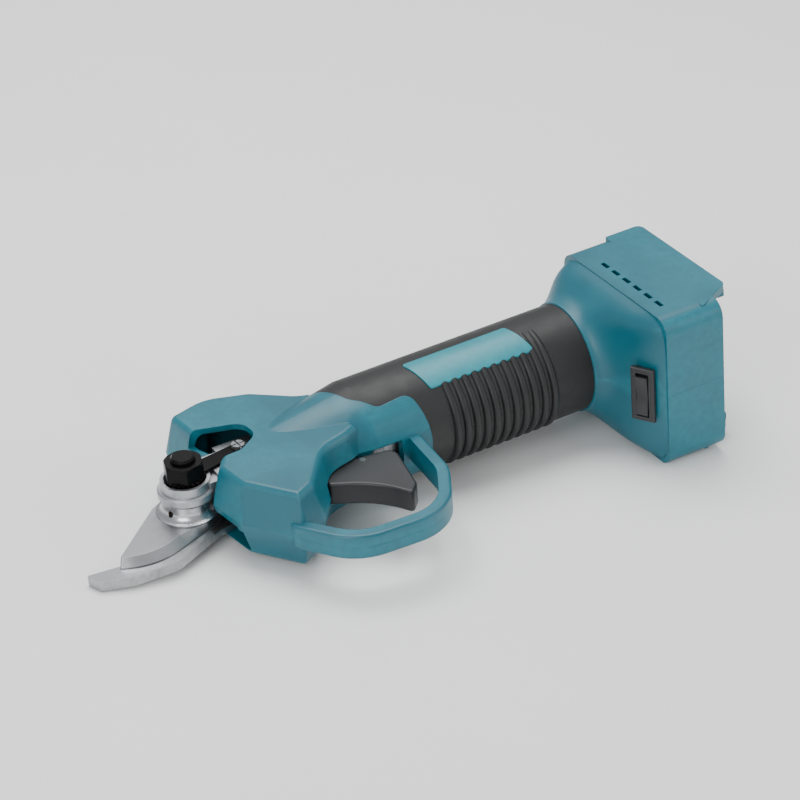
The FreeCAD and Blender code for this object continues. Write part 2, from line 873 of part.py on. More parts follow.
def hook_blade():
    """The fixed counter blade: a hook with a blunt beak, and a stepped tail screwed to the gear case."""
    tail = size("hook_tail_end") - size("pivot_x")
    corners = [
        (-52.8, -13.5, 0.7), (-50.2, -20.7, 0.7), (-37.5, -25.2, 12.0), (-18.5, -26.0, 14.0),
        (6.5, -14.2, 5.0), (20.5, -12.0, 3.0), (tail, -12.0, 2.0), (tail, 12.0, 2.0),
        (20.5, 12.0, 3.0),
        (4.0, 13.4, 8.0), (-9.0, 10.5, 8.0), (-13.8, -1.0, 6.0), (-20.5, -13.5, 9.0),
        (-33.0, -19.0, 6.0), (-39.2, -15.3, 2.0),
    ]
    top = size("blade_top") - size("blade_thickness") - size("blade_gap")
    outline = round_outline(around_pivot(corners))
    holes = [(size("pivot_x"), 0, "$bolt_radius + $fit")]
    for x, y in hook_screw_places():
        holes.append((x, y, "$hook_screw_radius + 0.1"))
    body = plate("hook_blade", outline, top - size("hook_thickness"), "$hook_thickness", holes)
    wedge = ring_sector(size("hook_boss_radius") + 0.1, 60.0, -80.0, 80.0)
    depth = "$blade_top - $blade_thickness - $blade_gap - $hook_tail_top"
    pocket_step(body, wedge, top, depth, False)
    return body


def hook_screw_places():
    """Where the two screws hold the hook's tail."""
    x = size("hook_tail_end") - 6.0
    return [(x, -8.3), (x, 8.3)]


def turned(label, wire, placement):
    """A PartDesign turning: a flat wire, with x as the radius and y as the height, about its axis."""
    body = doc.addObject("PartDesign::Body", label)
    plane = [f for f in body.Origin.OriginFeatures if f.Role == "XZ_Plane"][0]
    sketch = body.newObject("Sketcher::SketchObject", label + "_section")
    sketch.AttachmentSupport = [(plane, "")]
    sketch.MapMode = "FlatFace"
    add_wire(sketch, wire)
    spin = body.newObject("PartDesign::Revolution", label + "_turn")
    spin.Profile = sketch
    spin.ReferenceAxis = (sketch, ["V_Axis"])
    spin.Angle = 360.0
    body.Placement = placement
    doc.recompute()
    return body


def outline_of(points):
    """A closed wire of straight lines through (x, y) points."""
    corners = [Vector(x, y, 0) for x, y in points]
    return Part.makePolygon(corners + corners[:1])


def at_pivot(z=0.0):
    """The placement of a piece turned about the blade pivot."""
    return Placement(Vector(size("pivot_x"), 0, z), Rotation())


def along_handle(x):
    """The placement of a piece turned about the handle's axis, its base at x, growing to +X."""
    return Placement(Vector(x, 0, 0), Rotation(Z_AXIS, X_AXIS))


def blade_hub():
    """The boss on the moving blade, flared into the blade, with an oil hole in its side."""
    bottom = size("blade_top")
    top = size("hub_top")
    bore = size("bush_radius")
    radius = size("hub_radius")
    base = size("hub_base_radius")
    flare_top = Vector(radius, bottom + 4.2, 0)
    flare_end = Vector(base + 0.2, bottom, 0)
    bend = Vector(radius + 0.9, bottom + 1.4, 0)
    wire = Part.Wire([
        Part.LineSegment(Vector(bore, bottom, 0), flare_end).toShape(),
        Part.Arc(flare_end, bend, flare_top).toShape(),
        Part.LineSegment(flare_top, Vector(radius, top, 0)).toShape(),
        Part.LineSegment(Vector(radius, top, 0), Vector(bore, top, 0)).toShape(),
        Part.LineSegment(Vector(bore, top, 0), Vector(bore, bottom, 0)).toShape(),
    ])
    boss = turned("hub_turning", wire, at_pivot())
    way = Vector(-0.94, -0.34, 0)
    start = Vector(size("pivot_x"), 0, bottom + 2.9) + way * (bore - 0.5)
    drill = cylinder("oil_hole", "1.3", "$hub_base_radius", start, way)
    return cut("hub_with_hole", boss, drill)


def plain_ring(label, outer, inner, bottom, top):
    """A bush or washer about the pivot."""
    points = [(inner, bottom), (outer, bottom), (outer, top), (inner, top)]
    return finish(turned(label, outline_of(points), at_pivot()), label)


def pivot_bolt():
    """The bolt that the blades turn on; its slotted head is under the hook."""
    radius = size("bolt_radius")
    low = size("blade_top") - size("blade_thickness") - size("blade_gap") - size("hook_thickness")
    head = low - size("bolt_head_height")
    top = nut_bottom() + size("nut_height") + size("bolt_end")
    wide = size("bolt_head_radius")
    points = [
        (0, head), (wide - 0.8, head), (wide, head + 0.8), (wide, low), (radius, low),
        (radius, top - 0.8), (radius - 0.8, top), (0, top),
    ]
    bolt = turned("bolt_turning", outline_of(points), at_pivot())
    corner = Vector(size("pivot_x") - wide - 1, -0.9, head - 1)
    slot = box("bolt_slot", "2 * $bolt_head_radius + 2", "1.8", "2.4", corner)
    return cut("bolt_with_slot", bolt, slot)


def nut_bottom():
    """The height at which the nut sits on the lock plate."""
    return size("eye_seat") + 0.05 + size("lock_thickness") + 0.05


def lock_nut():
    """The hexagon nut on the bolt, with a chamfered top."""
    nut = doc.addObject("Part::Prism", "nut_hexagon")
    nut.Polygon = 6
    bind(nut, "Circumradius", "$nut_flats / 2 / cos(30)")
    bind(nut, "Height", "$nut_height")
    nut.Placement = Placement(Vector(size("pivot_x"), 0, nut_bottom()), Rotation(Z_AXIS, 12))
    wide = cone("nut_taper", "$nut_flats / 2 + 5.6", "$nut_flats / 2 + 0.2", "$nut_height + 0.01",
                Vector(size("pivot_x"), 0, nut_bottom() - 0.01), Z_AXIS)
    body = doc.addObject("Part::Common", "nut_blank")
    body.Base = nut
    body.Tool = wide
    hole = cylinder("nut_bore", "$bolt_radius + $fit", "$nut_height + 2",
                    Vector(size("pivot_x"), 0, nut_bottom() - 1), Z_AXIS)
    return cut("nut_with_bore", body, hole)


def lock_plate():
    """The serrated washer under the nut, with an arm held by a small screw."""
    bottom = size("eye_seat") + 0.05
    top = bottom + size("lock_thickness")
    teeth = count("lock_teeth")
    points = []
    for i in range(2 * teeth):
        radius = size("lock_radius") - (0.9 if i % 2 else 0.0)
        angle = math.pi * i / teeth
        points.append((radius * math.cos(angle), radius * math.sin(angle)))
    wire = outline_of(points)
    wire.Placement = Placement(Vector(size("pivot_x"), 0, bottom), Rotation())
    disc = prism(wire, size("lock_thickness"))
    end = Vector(size("lock_screw_x"), size("lock_screw_y"), 0)
    start = Vector(size("pivot_x"), 0, 0)
    along = (end - start).normalize()
    side = Vector(-along.y, along.x, 0)
    arm_bottom = top - size("lock_arm_thickness")
    corners = [start + along * 6 - side * 4.2, end - side * 3.2, end + side * 3.2,
               start + along * 6 + side * 4.2]
    arm = prism(Part.makePolygon([Vector(c.x, c.y, arm_bottom) for c in corners + corners[:1]]),
                size("lock_arm_thickness"))
    tip = Part.makeCylinder(3.2, size("lock_arm_thickness"), Vector(end.x, end.y, arm_bottom))
    body = disc.fuse([arm, tip])
    body = body.cut(rod(size("bolt_radius") + size("fit"), (start.x, 0, 0), (start.x, 0, 20)))
    body = body.cut(rod(size("lock_screw_radius") + 0.1, (end.x, end.y, 0), (end.x, end.y, 20)))
    return body.removeSplitter()


def lock_screw():
    """The small screw at the end of the lock plate's arm, with a cross slot."""
    x = size("lock_screw_x")
    y = size("lock_screw_y")
    seat = size("eye_seat") + 0.05 + size("lock_thickness") + 0.03
    shank = cylinder("lock_shank", "$lock_screw_radius", "4.4", Vector(x, y, seat - 4.4), Z_AXIS)
    head = cylinder("lock_head", "2.7", "1.7", Vector(x, y, seat), Z_AXIS)
    whole = fuse("lock_screw_blank", [shank, head])
    one = box("lock_slot_1", "6", "0.7", "1", Vector(x - 3, y - 0.35, seat + 0.9))
    other = box("lock_slot_2", "0.7", "6", "1", Vector(x - 0.35, y - 3, seat + 0.9))
    return cut("lock_screw_slotted", whole, fuse("lock_cross", [one, other]))


# -------------------------------------------------------------- bevel drive


def bevel_angle():
    """The pinion's pitch cone angle."""
    return math.atan(size("pinion_teeth") / size("sector_teeth"))


def bevel_module():
    """The module at the outer end of the bevel teeth."""
    return 2 * size("sector_radius") / size("sector_teeth")


def cone_distance():
    """The distance from the crossing of the two axes to the outer end of the teeth."""
    return size("sector_radius") / math.cos(bevel_angle())


def involute(angle):
    """The involute function of a pressure angle."""
    return math.tan(angle) - angle


def tooth_points(module, teeth, add, ded, slack, pressure=25.0, steps=5):
    """(radius, half angle) down one flank of an involute tooth, from its root to its tip."""
    pitch = module * teeth / 2
    alpha = math.radians(pressure)
    base = pitch * math.cos(alpha)
    middle = math.pi / (2 * teeth) - slack / (2 * pitch)
    flank = []
    for i in range(steps + 1):
        radius = pitch - ded + (add + ded) * i / steps
        at = math.acos(min(1.0, base / radius)) if radius > base else 0.0
        flank.append((radius, middle + involute(alpha) - involute(at)))
    return flank


def bevel_tooth(apex, along, outwards, across, teeth, cone_angle):
    """One straight bevel tooth: a frustum that runs to the crossing of the axes."""
    module = bevel_module()
    far = cone_distance()
    near = far - size("bevel_face")
    virtual = teeth / math.cos(cone_angle)
    flank = tooth_points(module, virtual, 0.75 * module, 1.0 * module, 0.16)
    pitch = module * virtual / 2
    right = [(r * math.sin(a), r * math.cos(a) - pitch) for r, a in flank]
    foot = (right[0][0], right[0][1] - 0.5 * module)
    half = [foot] + right
    profile = half + [(-u, v) for u, v in reversed(half)]
    wires = []
    for distance in (near, far):
        share = distance / far
        corners = []
        for u, v in profile:
            offset = along * far + across * u + outwards * v
            corners.append(apex + offset * share)
        wires.append(Part.makePolygon(corners + corners[:1]))
    return Part.makeLoft(wires, True, True)


def bevel_pinion():
    """The small bevel gear on the end of the gearbox's output shaft."""
    apex = Vector(size("pivot_x"), 0, 0)
    angle = bevel_angle()
    teeth = count("pinion_teeth")
    far = cone_distance()
    near = far - size("bevel_face")
    root = bevel_module()
    back_x = far * math.cos(angle) + root * math.sin(angle)
    back_r = far * math.sin(angle) - root * math.cos(angle)
    share = near / far
    start = Vector(size("pivot_x") + back_x * share, 0, 0)
    body = Part.makeCone(back_r * share, back_r, back_x * (1 - share), start, X_AXIS)
    for i in range(teeth):
        turn = 2 * math.pi * (i + 0.5) / teeth
        down = Vector(0, -math.sin(turn), -math.cos(turn))
        along = X_AXIS * math.cos(angle) + down * math.sin(angle)
        outwards = down * math.cos(angle) - X_AXIS * math.sin(angle)
        across = Vector(0, -math.cos(turn), math.sin(turn))
        body = body.fuse(bevel_tooth(apex, along, outwards, across, teeth, angle))
    hub_x = size("pivot_x") + back_x
    body = body.fuse(rod(back_r, (hub_x - 0.2, 0, 0), (hub_x + 2.6, 0, 0)))
    bore = rod(size("shaft_nose_radius") + size("fit"), (start.x - 5, 0, 0), (hub_x + 9, 0, 0))
    return body.cut(bore).removeSplitter()


def sector_span():
    """The first and last angle of the toothed sector at rest, in degrees."""
    pitch = 360.0 / size("sector_teeth")
    return (size("sector_first_tooth") - 0.5) * pitch, (size("sector_last_tooth") + 0.5) * pitch


def sector_gear():
    """The toothed sector on the moving blade's tail, in mesh with the pinion from below."""
    apex = Vector(size("pivot_x"), 0, 0)
    tilt = bevel_angle()
    module = bevel_module()
    first, last = sector_span()
    slope = math.tan(tilt)
    drop = module / math.cos(tilt)
    inner = size("hook_boss_radius") + 0.6
    tongue = size("tongue_radius")
    outer = size("sector_radius") + 1.2
    under = size("blade_top") - size("tongue_thickness") - 0.05
    low = size("sector_bottom")
    profile = [
        (inner, low), (outer, low), (outer, -outer * slope - drop), (tongue, -tongue * slope - drop),
        (tongue, under), (inner, under),
    ]
    corners = [apex + Vector(r, 0, z) for r, z in profile]
    face = Part.Face(Part.makePolygon(corners + corners[:1]))
    face.rotate(apex, Z_AXIS, first)
    body = face.revolve(apex, Z_AXIS, last - first)
    for i in range(count("sector_first_tooth"), count("sector_last_tooth") + 1):
        turn = 2 * math.pi * i / size("sector_teeth")
        radial = Vector(math.cos(turn), math.sin(turn), 0)
        along = radial * math.cos(tilt) - Z_AXIS * math.sin(tilt)
        outwards = radial * math.sin(tilt) + Z_AXIS * math.cos(tilt)
        across = Vector(-math.sin(turn), math.cos(turn), 0)
        teeth = size("sector_teeth")
        tooth = bevel_tooth(apex, along, outwards, across, teeth, math.pi / 2 - tilt)
        body = body.fuse(tooth)
    for x, y in sector_screw_places():
        body = body.cut(rod(size("rivet_radius") + size("fit"), (x, y, low - 1), (x, y, 0)))
    return body.removeSplitter()


def sector_screw_places():
    """Where three rivets join the sector to the blade's tongue."""
    first, last = sector_span()
    radius = (size("hook_boss_radius") + size("tongue_radius")) / 2 + 0.3
    places = []
    for share in (0.18, 0.5, 0.82):
        angle = math.radians(first + (last - first) * share)
        places.append((size("pivot_x") + radius * math.cos(angle), radius * math.sin(angle)))
    return places


def sector_rivets():
    """The flush rivets that join the sector to the blade."""
    low = size("sector_bottom")
    top = size("blade_top")
    places = sector_screw_places()
    return Part.makeCompound([rod(size("rivet_radius"), (x, y, low), (x, y, top)) for x, y in places])


def bearing(label, x, outer, inner, width):
    """A shielded ball bearing along the handle, grooved between its rings."""
    middle = (outer + inner) / 2
    half = (outer - inner) / 5
    points = [
        (inner, 0), (middle - half, 0), (middle - half, 0.4), (middle + half, 0.4),
        (middle + half, 0), (outer, 0), (outer, width), (middle + half, width),
        (middle + half, width - 0.4), (middle - half, width - 0.4), (middle - half, width),
        (inner, width),
    ]
    return finish(turned(label, outline_of(points), along_handle(x)), label)


def gear_case():
    """The aluminium case: an eye for the pivot bolt, the bevel chamber and the bearing tube."""
    pivot = size("pivot_x")
    front = size("case_front")
    rear = size("case_rear")
    wide = size("case_half_width")
    top = size("case_top")
    chamber_rear = -189.0
    nose = size("case_nose_half")
    low = size("blade_top") + 0.9
    block = solid_box((front, -nose, low), (front + 8.0, nose, top))
    block = block.fuse(solid_box((front + 7.0, -wide, low), (chamber_rear, wide, top)))
    web = solid_box((pivot + 7, -8.0, size("eye_bottom")), (front + 6, 8.0, size("eye_seat") - 0.4))
    eye = rod(size("eye_radius"), (pivot, 0, size("eye_bottom")), (pivot, 0, size("case_top")))
    flange = rod(size("flange_radius"), (pivot, 0, size("eye_bottom")), (pivot, 0, size("flange_top")))
    flange = flange.makeChamfer(0.6, flange.Edges)
    tube = rod(size("case_tube_radius"), (-192.0, 0, 0), (rear, 0, 0))
    plate_front = rear - 5.0
    plate_solid = rod(size("gearbox_radius"), (plate_front, 0, 0), (rear, 0, 0))
    pad_x = size("hook_tail_end") - 10.5
    pad_low = size("hook_tail_top") + 0.05
    pad = solid_box((pad_x, -12.0, pad_low), (size("hook_tail_end") + 1.0, 12.0, 0))
    case = block.fuse([web, eye, flange, tube, plate_solid, pad])
    case = case.cut(case_hollows(pivot, front, rear))
    return case.removeSplitter()


def case_hollows(pivot, front, rear):
    """Everything that is bored or milled out of the gear case."""
    fit = size("fit")
    hollows = [
        rod(size("bolt_radius") + fit, (pivot, 0, 0), (pivot, 0, 20)),
        rod(size("eye_radius") - 1.4, (pivot, 0, size("eye_seat")), (pivot, 0, 20)),
        rod(7.7, (front + 4.4, 0, 0), (-193.5, 0, 0)),
        rod(size("bearing_outer") + 0.01, (-193.6, 0, 0), (rear + 1, 0, 0)),
        rod(14.0, (rear - 1.2, 0, 0), (rear + 1, 0, 0)),
    ]
    groove_outer = size("sector_radius") + 2.4
    groove = rod(groove_outer, (pivot, 0, -20), (pivot, 0, -3.2))
    groove = groove.cut(rod(size("tongue_radius") - 1.0, (pivot, 0, -21), (pivot, 0, 0)))
    hollows.append(groove)
    tail = solid_box((-230, -30, -40), (size("hook_tail_end") + 1.2, 30, size("hook_tail_top") + 0.04))
    hollows.append(tail)
    lock_x = size("lock_screw_x")
    lock_y = size("lock_screw_y")
    hollows.append(rod(size("lock_screw_radius") + fit, (lock_x, lock_y, 5.0), (lock_x, lock_y, 20)))
    for x, y in hook_screw_places():
        hollows.append(rod(size("hook_screw_radius") + fit, (x, y, -20), (x, y, -5.2)))
    for y, z in gearbox_screw_places():
        hollows.append(rod(size("gearbox_screw_radius") + fit, (rear - 6, y, z), (rear + 1, y, z)))
    return hollows


def gearbox_screw_places():
    """(y, z) of the four long screws through the ring gear."""
    radius = size("gearbox_radius") - 1.25
    places = []
    for i in range(4):
        angle = math.radians(45 + 90 * i)
        places.append((radius * math.cos(angle), radius * math.sin(angle)))
    return places


def hook_screws():
    """The two flat-headed screws in the hook's tail."""
    low = size("blade_top") - size("blade_thickness") - size("blade_gap") - size("hook_thickness")
    solids = []
    for x, y in hook_screw_places():
        solids.append(rod(size("hook_screw_radius"), (x, y, low), (x, y, -5.5)))
    return Part.makeCompound(solids)


# ------------------------------------------------------------------ gearbox


def gear_wire(module, teeth, add, ded, slack, x, turn):
    """The outline of a toothed wheel across X, with a tooth at the given angle from +Y."""
    flank = tooth_points(module, teeth, add, ded, slack, 25.0, 3)
    points = []
    for i in range(teeth):
        middle = math.radians(turn) + 2 * math.pi * i / teeth
        for radius, half in flank:
            points.append((radius, middle - half))
        for radius, half in reversed(flank):
            points.append((radius, middle + half))
    corners = [Vector(x, r * math.cos(a), r * math.sin(a)) for r, a in points]
    return Part.makePolygon(corners + corners[:1])


def spur_gear(teeth, front, length, bore, turn, centre):
    """A spur gear along the handle, round a centre given as (y, z)."""
    module = size("gear_module")
    wire = gear_wire(module, teeth, 0.75 * module, module, 0.06, front, turn)
    body = Part.Face(wire).extrude(Vector(length, 0, 0))
    body = body.cut(rod(bore, (front - 1, 0, 0), (front + length + 1, 0, 0)))
    body.translate(Vector(0, centre[0], centre[1]))
    return body


def planet_places():
    """(y, z, angle) of each planet."""
    distance = size("gear_module") * (size("sun_teeth") + size("planet_teeth")) / 2
    places = []
    for i in range(count("planet_count")):
        angle = 360.0 / size("planet_count") * i
        turn = math.radians(angle)
        places.append((distance * math.cos(turn), distance * math.sin(turn), angle))
    return places


def planet_gear(number):
    """One planet, turned so that it is in mesh with the sun and the ring."""
    y, z, angle = planet_places()[number]
    teeth = count("planet_teeth")
    share = angle * size("sun_teeth") / 360.0
    turn = angle + 180.0 - (0.5 - share) * 360.0 / teeth
    front = planet_front()
    bore = size("planet_pin_radius") + 0.05
    return spur_gear(teeth, front, size("planet_length"), bore, turn, (y, z))


def planet_front():
    """The front face of the planets."""
    return size("case_rear") + 0.5 + size("carrier_thickness") + 0.4


def sun_gear():
    """The motor's gear in the middle of the planets."""
    front = planet_front() - 0.3
    length = size("planet_length") + 0.6
    return spur_gear(count("sun_teeth"), front, length, size("sun_bore_radius") + 0.01, 0.0, (0, 0))


def motor_front():
    """The front face of the motor's front plate."""
    return planet_front() + size("planet_length") + 3.4


def ring_gear():
    """The fixed ring with teeth inside, between the gear case and the motor."""
    module = size("gear_module")
    teeth = count("ring_teeth")
    front = size("case_rear") + 0.02
    rear = motor_front() - 0.02
    body = rod(size("gearbox_radius"), (front, 0, 0), (rear, 0, 0))
    wire = gear_wire(module, teeth, module, 0.75 * module, -0.06, front - 1, 180.0 / teeth)
    body = body.cut(Part.Face(wire).extrude(Vector(rear - front + 2, 0, 0)))
    for y, z in gearbox_screw_places():
        hole = rod(size("gearbox_screw_radius") + size("fit"), (front - 1, y, z), (rear + 1, y, z))
        body = body.cut(hole)
    return body


def planet_carrier():
    """The carrier plate with the planets' pins, and the output shaft in one piece with it."""
    plate_front = size("case_rear") + 0.5
    plate_rear = plate_front + size("carrier_thickness")
    shoulder = pinion_back() + 2.65
    shaft = rod(size("shaft_radius"), (shoulder, 0, 0), (plate_front + 0.5, 0, 0))
    nose = rod(size("shaft_nose_radius"), (pinion_back() - 6.6, 0, 0), (shoulder + 0.5, 0, 0))
    body = rod(size("carrier_radius"), (plate_front, 0, 0), (plate_rear, 0, 0))
    body = body.cut(rod(4.4, (plate_rear - 1.2, 0, 0), (plate_rear + 1, 0, 0)))
    pieces = [shaft, nose]
    for y, z, angle in planet_places():
        end = plate_rear + size("planet_length") + 0.9
        pieces.append(rod(size("planet_pin_radius"), (plate_rear - 1, y, z), (end, y, z)))
    return body.fuse(pieces).removeSplitter()


def pinion_back():
    """The X position of the bevel pinion's back face."""
    angle = bevel_angle()
    return size("pivot_x") + cone_distance() * math.cos(angle) + bevel_module() * math.sin(angle)


def gearbox_screws():
    """The four long screws through the gear case's rear plate, the ring and the motor's plate."""
    radius = size("gearbox_screw_radius")
    front = size("case_rear") - 5.0
    solids = []
    for y, z in gearbox_screw_places():
        shank = rod(radius, (front - 0.3, y, z), (motor_front() + 3.0, y, z))
        head = rod(1.2, (front - 1.3, y, z), (front - 0.02, y, z))
        solids.append(shank.fuse(head).removeSplitter())
    return Part.makeCompound(solids)


# -------------------------------------------------------------------- motor


def motor_plate(label, x, holes):
    """An end plate of the motor with its bearing seat."""
    bore = size("motor_bearing_outer") + 0.01
    body = rod(size("gearbox_radius"), (x, 0, 0), (x + size("end_plate"), 0, 0))
    body = body.cut(rod(bore, (x - 1, 0, 0), (x + size("end_plate") + 1, 0, 0)))
    for y, z in holes:
        hole = rod(size("gearbox_screw_radius") + size("fit"), (x - 1, y, z), (x + 3.2, y, z))
        body = body.cut(hole)
    return feature(label, body)


def can_front():
    """The front end of the motor's can."""
    return motor_front() + size("end_plate")


def can_rear():
    """The rear end of the motor's can."""
    return can_front() + size("motor_length")


def motor_can():
    """The steel tube round the motor, with cooling slots."""
    outer = size("gearbox_radius")
    inner = outer - size("motor_can_wall")
    body = rod(outer, (can_front() + 0.02, 0, 0), (can_rear() - 0.02, 0, 0))
    body = body.cut(rod(inner, (can_front() - 1, 0, 0), (can_rear() + 1, 0, 0)))
    for i in range(8):
        slot = solid_box((can_rear() - 7.5, -1.5, inner - 1), (can_rear() - 2.5, 1.5, outer + 1))
        slot.rotate(Vector(0, 0, 0), X_AXIS, 22.5 + 45.0 * i)
        body = body.cut(slot)
    return body


def stack_front():
    """The front face of the motor's iron stack."""
    return can_front() + (size("motor_length") - size("stack_length")) / 2 + 1.0


def rotor_core():
    """The rotor's iron core on the motor shaft, which is slimmer where the sun gear sits."""
    front = stack_front()
    step = motor_front() - 0.6
    slim = rod(size("sun_bore_radius"), (planet_front() - 0.4, 0, 0), (step + 0.1, 0, 0))
    shaft = rod(size("motor_shaft_radius"), (step, 0, 0), (can_rear() + size("end_plate") + 0.5, 0, 0))
    core = rod(size("rotor_radius"), (front, 0, 0), (front + size("stack_length"), 0, 0))
    return core.fuse([slim, shaft]).removeSplitter()


def magnets():
    """Four curved magnets round the rotor's core."""
    inner = size("rotor_radius") + 0.01
    outer = inner + size("magnet_thickness")
    front = stack_front()
    length = size("stack_length")
    tube = rod(outer, (front, 0, 0), (front + length, 0, 0))
    tube = tube.cut(rod(inner, (front - 1, 0, 0), (front + length + 1, 0, 0)))
    solids = []
    for i in range(4):
        quarter = solid_box((front, 0.25, 0.25), (front + length, 20, 20))
        quarter.rotate(Vector(0, 0, 0), X_AXIS, 90.0 * i)
        solids.append(tube.common(quarter))
    return Part.makeCompound(solids)


def slot_shape(inset, front, length):
    """The space between two stator teeth, which the windings fill."""
    low = size("stator_bore") + 0.9 + inset
    high = size("gearbox_radius") - size("motor_can_wall") - 1.5 - inset
    half_pitch = math.pi / size("stator_teeth")
    corners = []
    for radius, sign in ((low, -1), (high, -1), (high, 1), (low, 1)):
        half = half_pitch - math.asin((1.5 + inset) / radius)
        corners.append(Vector(front, radius * math.cos(half * sign), radius * math.sin(half * sign)))
    return Part.Face(Part.makePolygon(corners + corners[:1])).extrude(Vector(length, 0, 0))


def stator():
    """The stator's iron stack with nine teeth."""
    front = stack_front()
    length = size("stack_length")
    outer = size("gearbox_radius") - size("motor_can_wall") - 0.03
    body = rod(outer, (front, 0, 0), (front + length, 0, 0))
    body = body.cut(rod(size("stator_bore"), (front - 1, 0, 0), (front + length + 1, 0, 0)))
    mouth = solid_box((front - 1, size("stator_bore") - 1, -0.6), (front + length + 1, 13.2, 0.6))
    space = slot_shape(0.0, front - 1, length + 2).fuse(mouth)
    for i in range(count("stator_teeth")):
        one = space.copy()
        one.rotate(Vector(0, 0, 0), X_AXIS, 360.0 * i / size("stator_teeth"))
        body = body.cut(one)
    return body


def windings():
    """The copper in the slots and the round bundles at both ends."""
    over = 2.6
    front = stack_front() - over
    length = size("stack_length") + 2 * over
    bar = slot_shape(0.12, front, length)
    low = size("stator_bore") + 1.3
    high = size("gearbox_radius") - size("motor_can_wall") - 1.9
    pieces = []
    for i in range(count("stator_teeth")):
        one = bar.copy()
        one.rotate(Vector(0, 0, 0), X_AXIS, 360.0 * i / size("stator_teeth"))
        pieces.append(one)
    for x in (front - 0.6, front + length - 1.6):
        bundle = rod(high, (x, 0, 0), (x + 2.2, 0, 0)).cut(rod(low, (x - 1, 0, 0), (x + 4, 0, 0)))
        pieces.append(bundle)
    return pieces[0].fuse(pieces[1:]).removeSplitter()


def hall_board():
    """The round sensor board on the back of the motor."""
    x = can_rear() + size("end_plate") + 0.05
    body = rod(12.0, (x, 0, 0), (x + size("board_thickness"), 0, 0))
    return body.cut(rod(3.6, (x - 1, 0, 0), (x + 4, 0, 0)))


# ------------------------------------------------------------------ trigger

TRIGGER = [
    (-174.6, -20.0, 1.0),
    (-177.6, -32.5, 2.0),
    (-161.0, -42.5, 40.0),
    (-153.0, -57.5, 1.6),
    (-147.8, -52.0, 4.0),
    (-142.6, -28.0, 6.0),
    (-144.5, -24.1, 1.6),
    (-161.0, -21.4, 3.0),
    (-164.0, -20.6, 1.0),
    (-166.4, -16.0, 1.0),
    (-173.0, -15.0, 1.0),
]


def trigger():
    """The trigger: a fin that hangs from its pin into the guard, forked round the spring."""
    half = size("trigger_half")
    x = size("trigger_x")
    y = size("trigger_y")
    fin = prism(round_outline(TRIGGER, 0.0, -half), 2 * half)
    rims = [e for e in fin.Edges if abs(e.BoundBox.ZMax - e.BoundBox.ZMin) < 0.01]
    outer = [e for e in rims if e.BoundBox.YMax < -24.0]
    fin = fin.makeFillet(1.2, outer)
    hub = rod(4.5, (x, y, -half), (x, y, half))
    body = fin.fuse(hub)
    fork = rod(5.4, (x, y, -2.7), (x, y, 2.7))
    bore = rod(size("trigger_pin_radius") + 0.05, (x, y, -half - 1), (x, y, half + 1))
    magnet = rod(1.53, (*MAGNET, 2.0), (*MAGNET, half + 1))
    return body.cut([fork, bore, magnet]).removeSplitter()


MAGNET = (-157.0, -24.6)


def trigger_spring():
    """The torsion spring round the trigger's pin: a coil and two legs."""
    x = size("trigger_x")
    y = size("trigger_y")
    wire_radius = 0.4
    turns = 4
    pitch = 1.0
    coil_radius = 3.0
    helix = Part.makeHelix(pitch, pitch * turns, coil_radius)
    profile = Part.Wire(Part.Circle(Vector(coil_radius, 0, 0), Y_AXIS, wire_radius).toShape())
    coil = Part.Wire(helix).makePipeShell([profile], True, True)
    coil.translate(Vector(x, y, -pitch * turns / 2))
    start = Vector(x + coil_radius, y, -pitch * turns / 2)
    end = Vector(x + coil_radius, y, pitch * turns / 2)
    leg_1 = rod(wire_radius, start, start + Vector(1.2, 5.2, 0))
    leg_2 = rod(wire_radius, end, end + Vector(0.4, -1.2, 0))
    return coil.fuse([leg_1, leg_2])


def sensor_board():
    """The little board that feels the trigger's magnet."""
    body = solid_box((-166.0, -20.3, 5.75), (-150.0, -17.9, 6.7))
    chip = solid_box((-158.5, -20.0, 6.69), (-155.5, -18.4, 7.0))
    return body.fuse(chip)


# ------------------------------------------------ switch, terminals, boards


def switch_housing():
    """The body and rim that the power rocker sits in."""
    half_y = size("rocker_width") / 2 + 1.2
    half_z = size("rocker_length") / 2 + 2.1
    body = solid_box((-12.0, -half_y, -half_z), (1.0, half_y, half_z))
    rim = solid_box((-1.0, -half_y - 1.4, -half_z - 1.4), (0.9, half_y + 1.4, half_z + 1.4))
    rim = rim.makeFillet(0.5, [e for e in rim.Edges if e.BoundBox.XMin > 0.8])
    room_y = size("rocker_width") / 2 + 0.25
    room_z = size("rocker_length") / 2 + 1.3
    room = solid_box((-size("rocker_depth") - 2.6, -room_y, -room_z), (3.0, room_y, room_z))
    body = body.fuse(rim).cut(room)
    pins = []
    for z in (-6.0, 6.0):
        pins.append(solid_box((-16.0, -1.6, z - 0.4), (-11.5, 1.6, z + 0.4)))
    axle = rod(0.8, (-size("rocker_depth"), -room_y - 0.6, 0), (-size("rocker_depth"), room_y + 0.6, 0))
    body = body.cut(axle).fuse(pins)
    body.Placement = rocker_frame()
    return body


def power_rocker():
    """The rocker: a pad with two slightly sloping faces and two stub pins."""
    half_y = size("rocker_width") / 2
    half_z = size("rocker_length") / 2
    depth = size("rocker_depth")
    corners = [
        Vector(-depth - 1.2, -half_y, -2.0),
        Vector(-1.6, -half_y, -half_z),
        Vector(2.0, -half_y, -half_z),
        Vector(1.1, -half_y, 0),
        Vector(2.0, -half_y, half_z),
        Vector(-1.6, -half_y, half_z),
        Vector(-depth - 1.2, -half_y, 2.0),
    ]
    body = Part.Face(Part.makePolygon(corners + corners[:1])).extrude(Vector(0, 2 * half_y, 0))
    axle = rod(0.77, (-depth, -half_y - 0.7, 0), (-depth, half_y + 0.7, 0))
    body = body.fuse(axle)
    body.Placement = rocker_frame()
    return body


def contact_heights():
    """The heights of the terminal contacts."""
    return (-8.0, 0.0, 8.0)


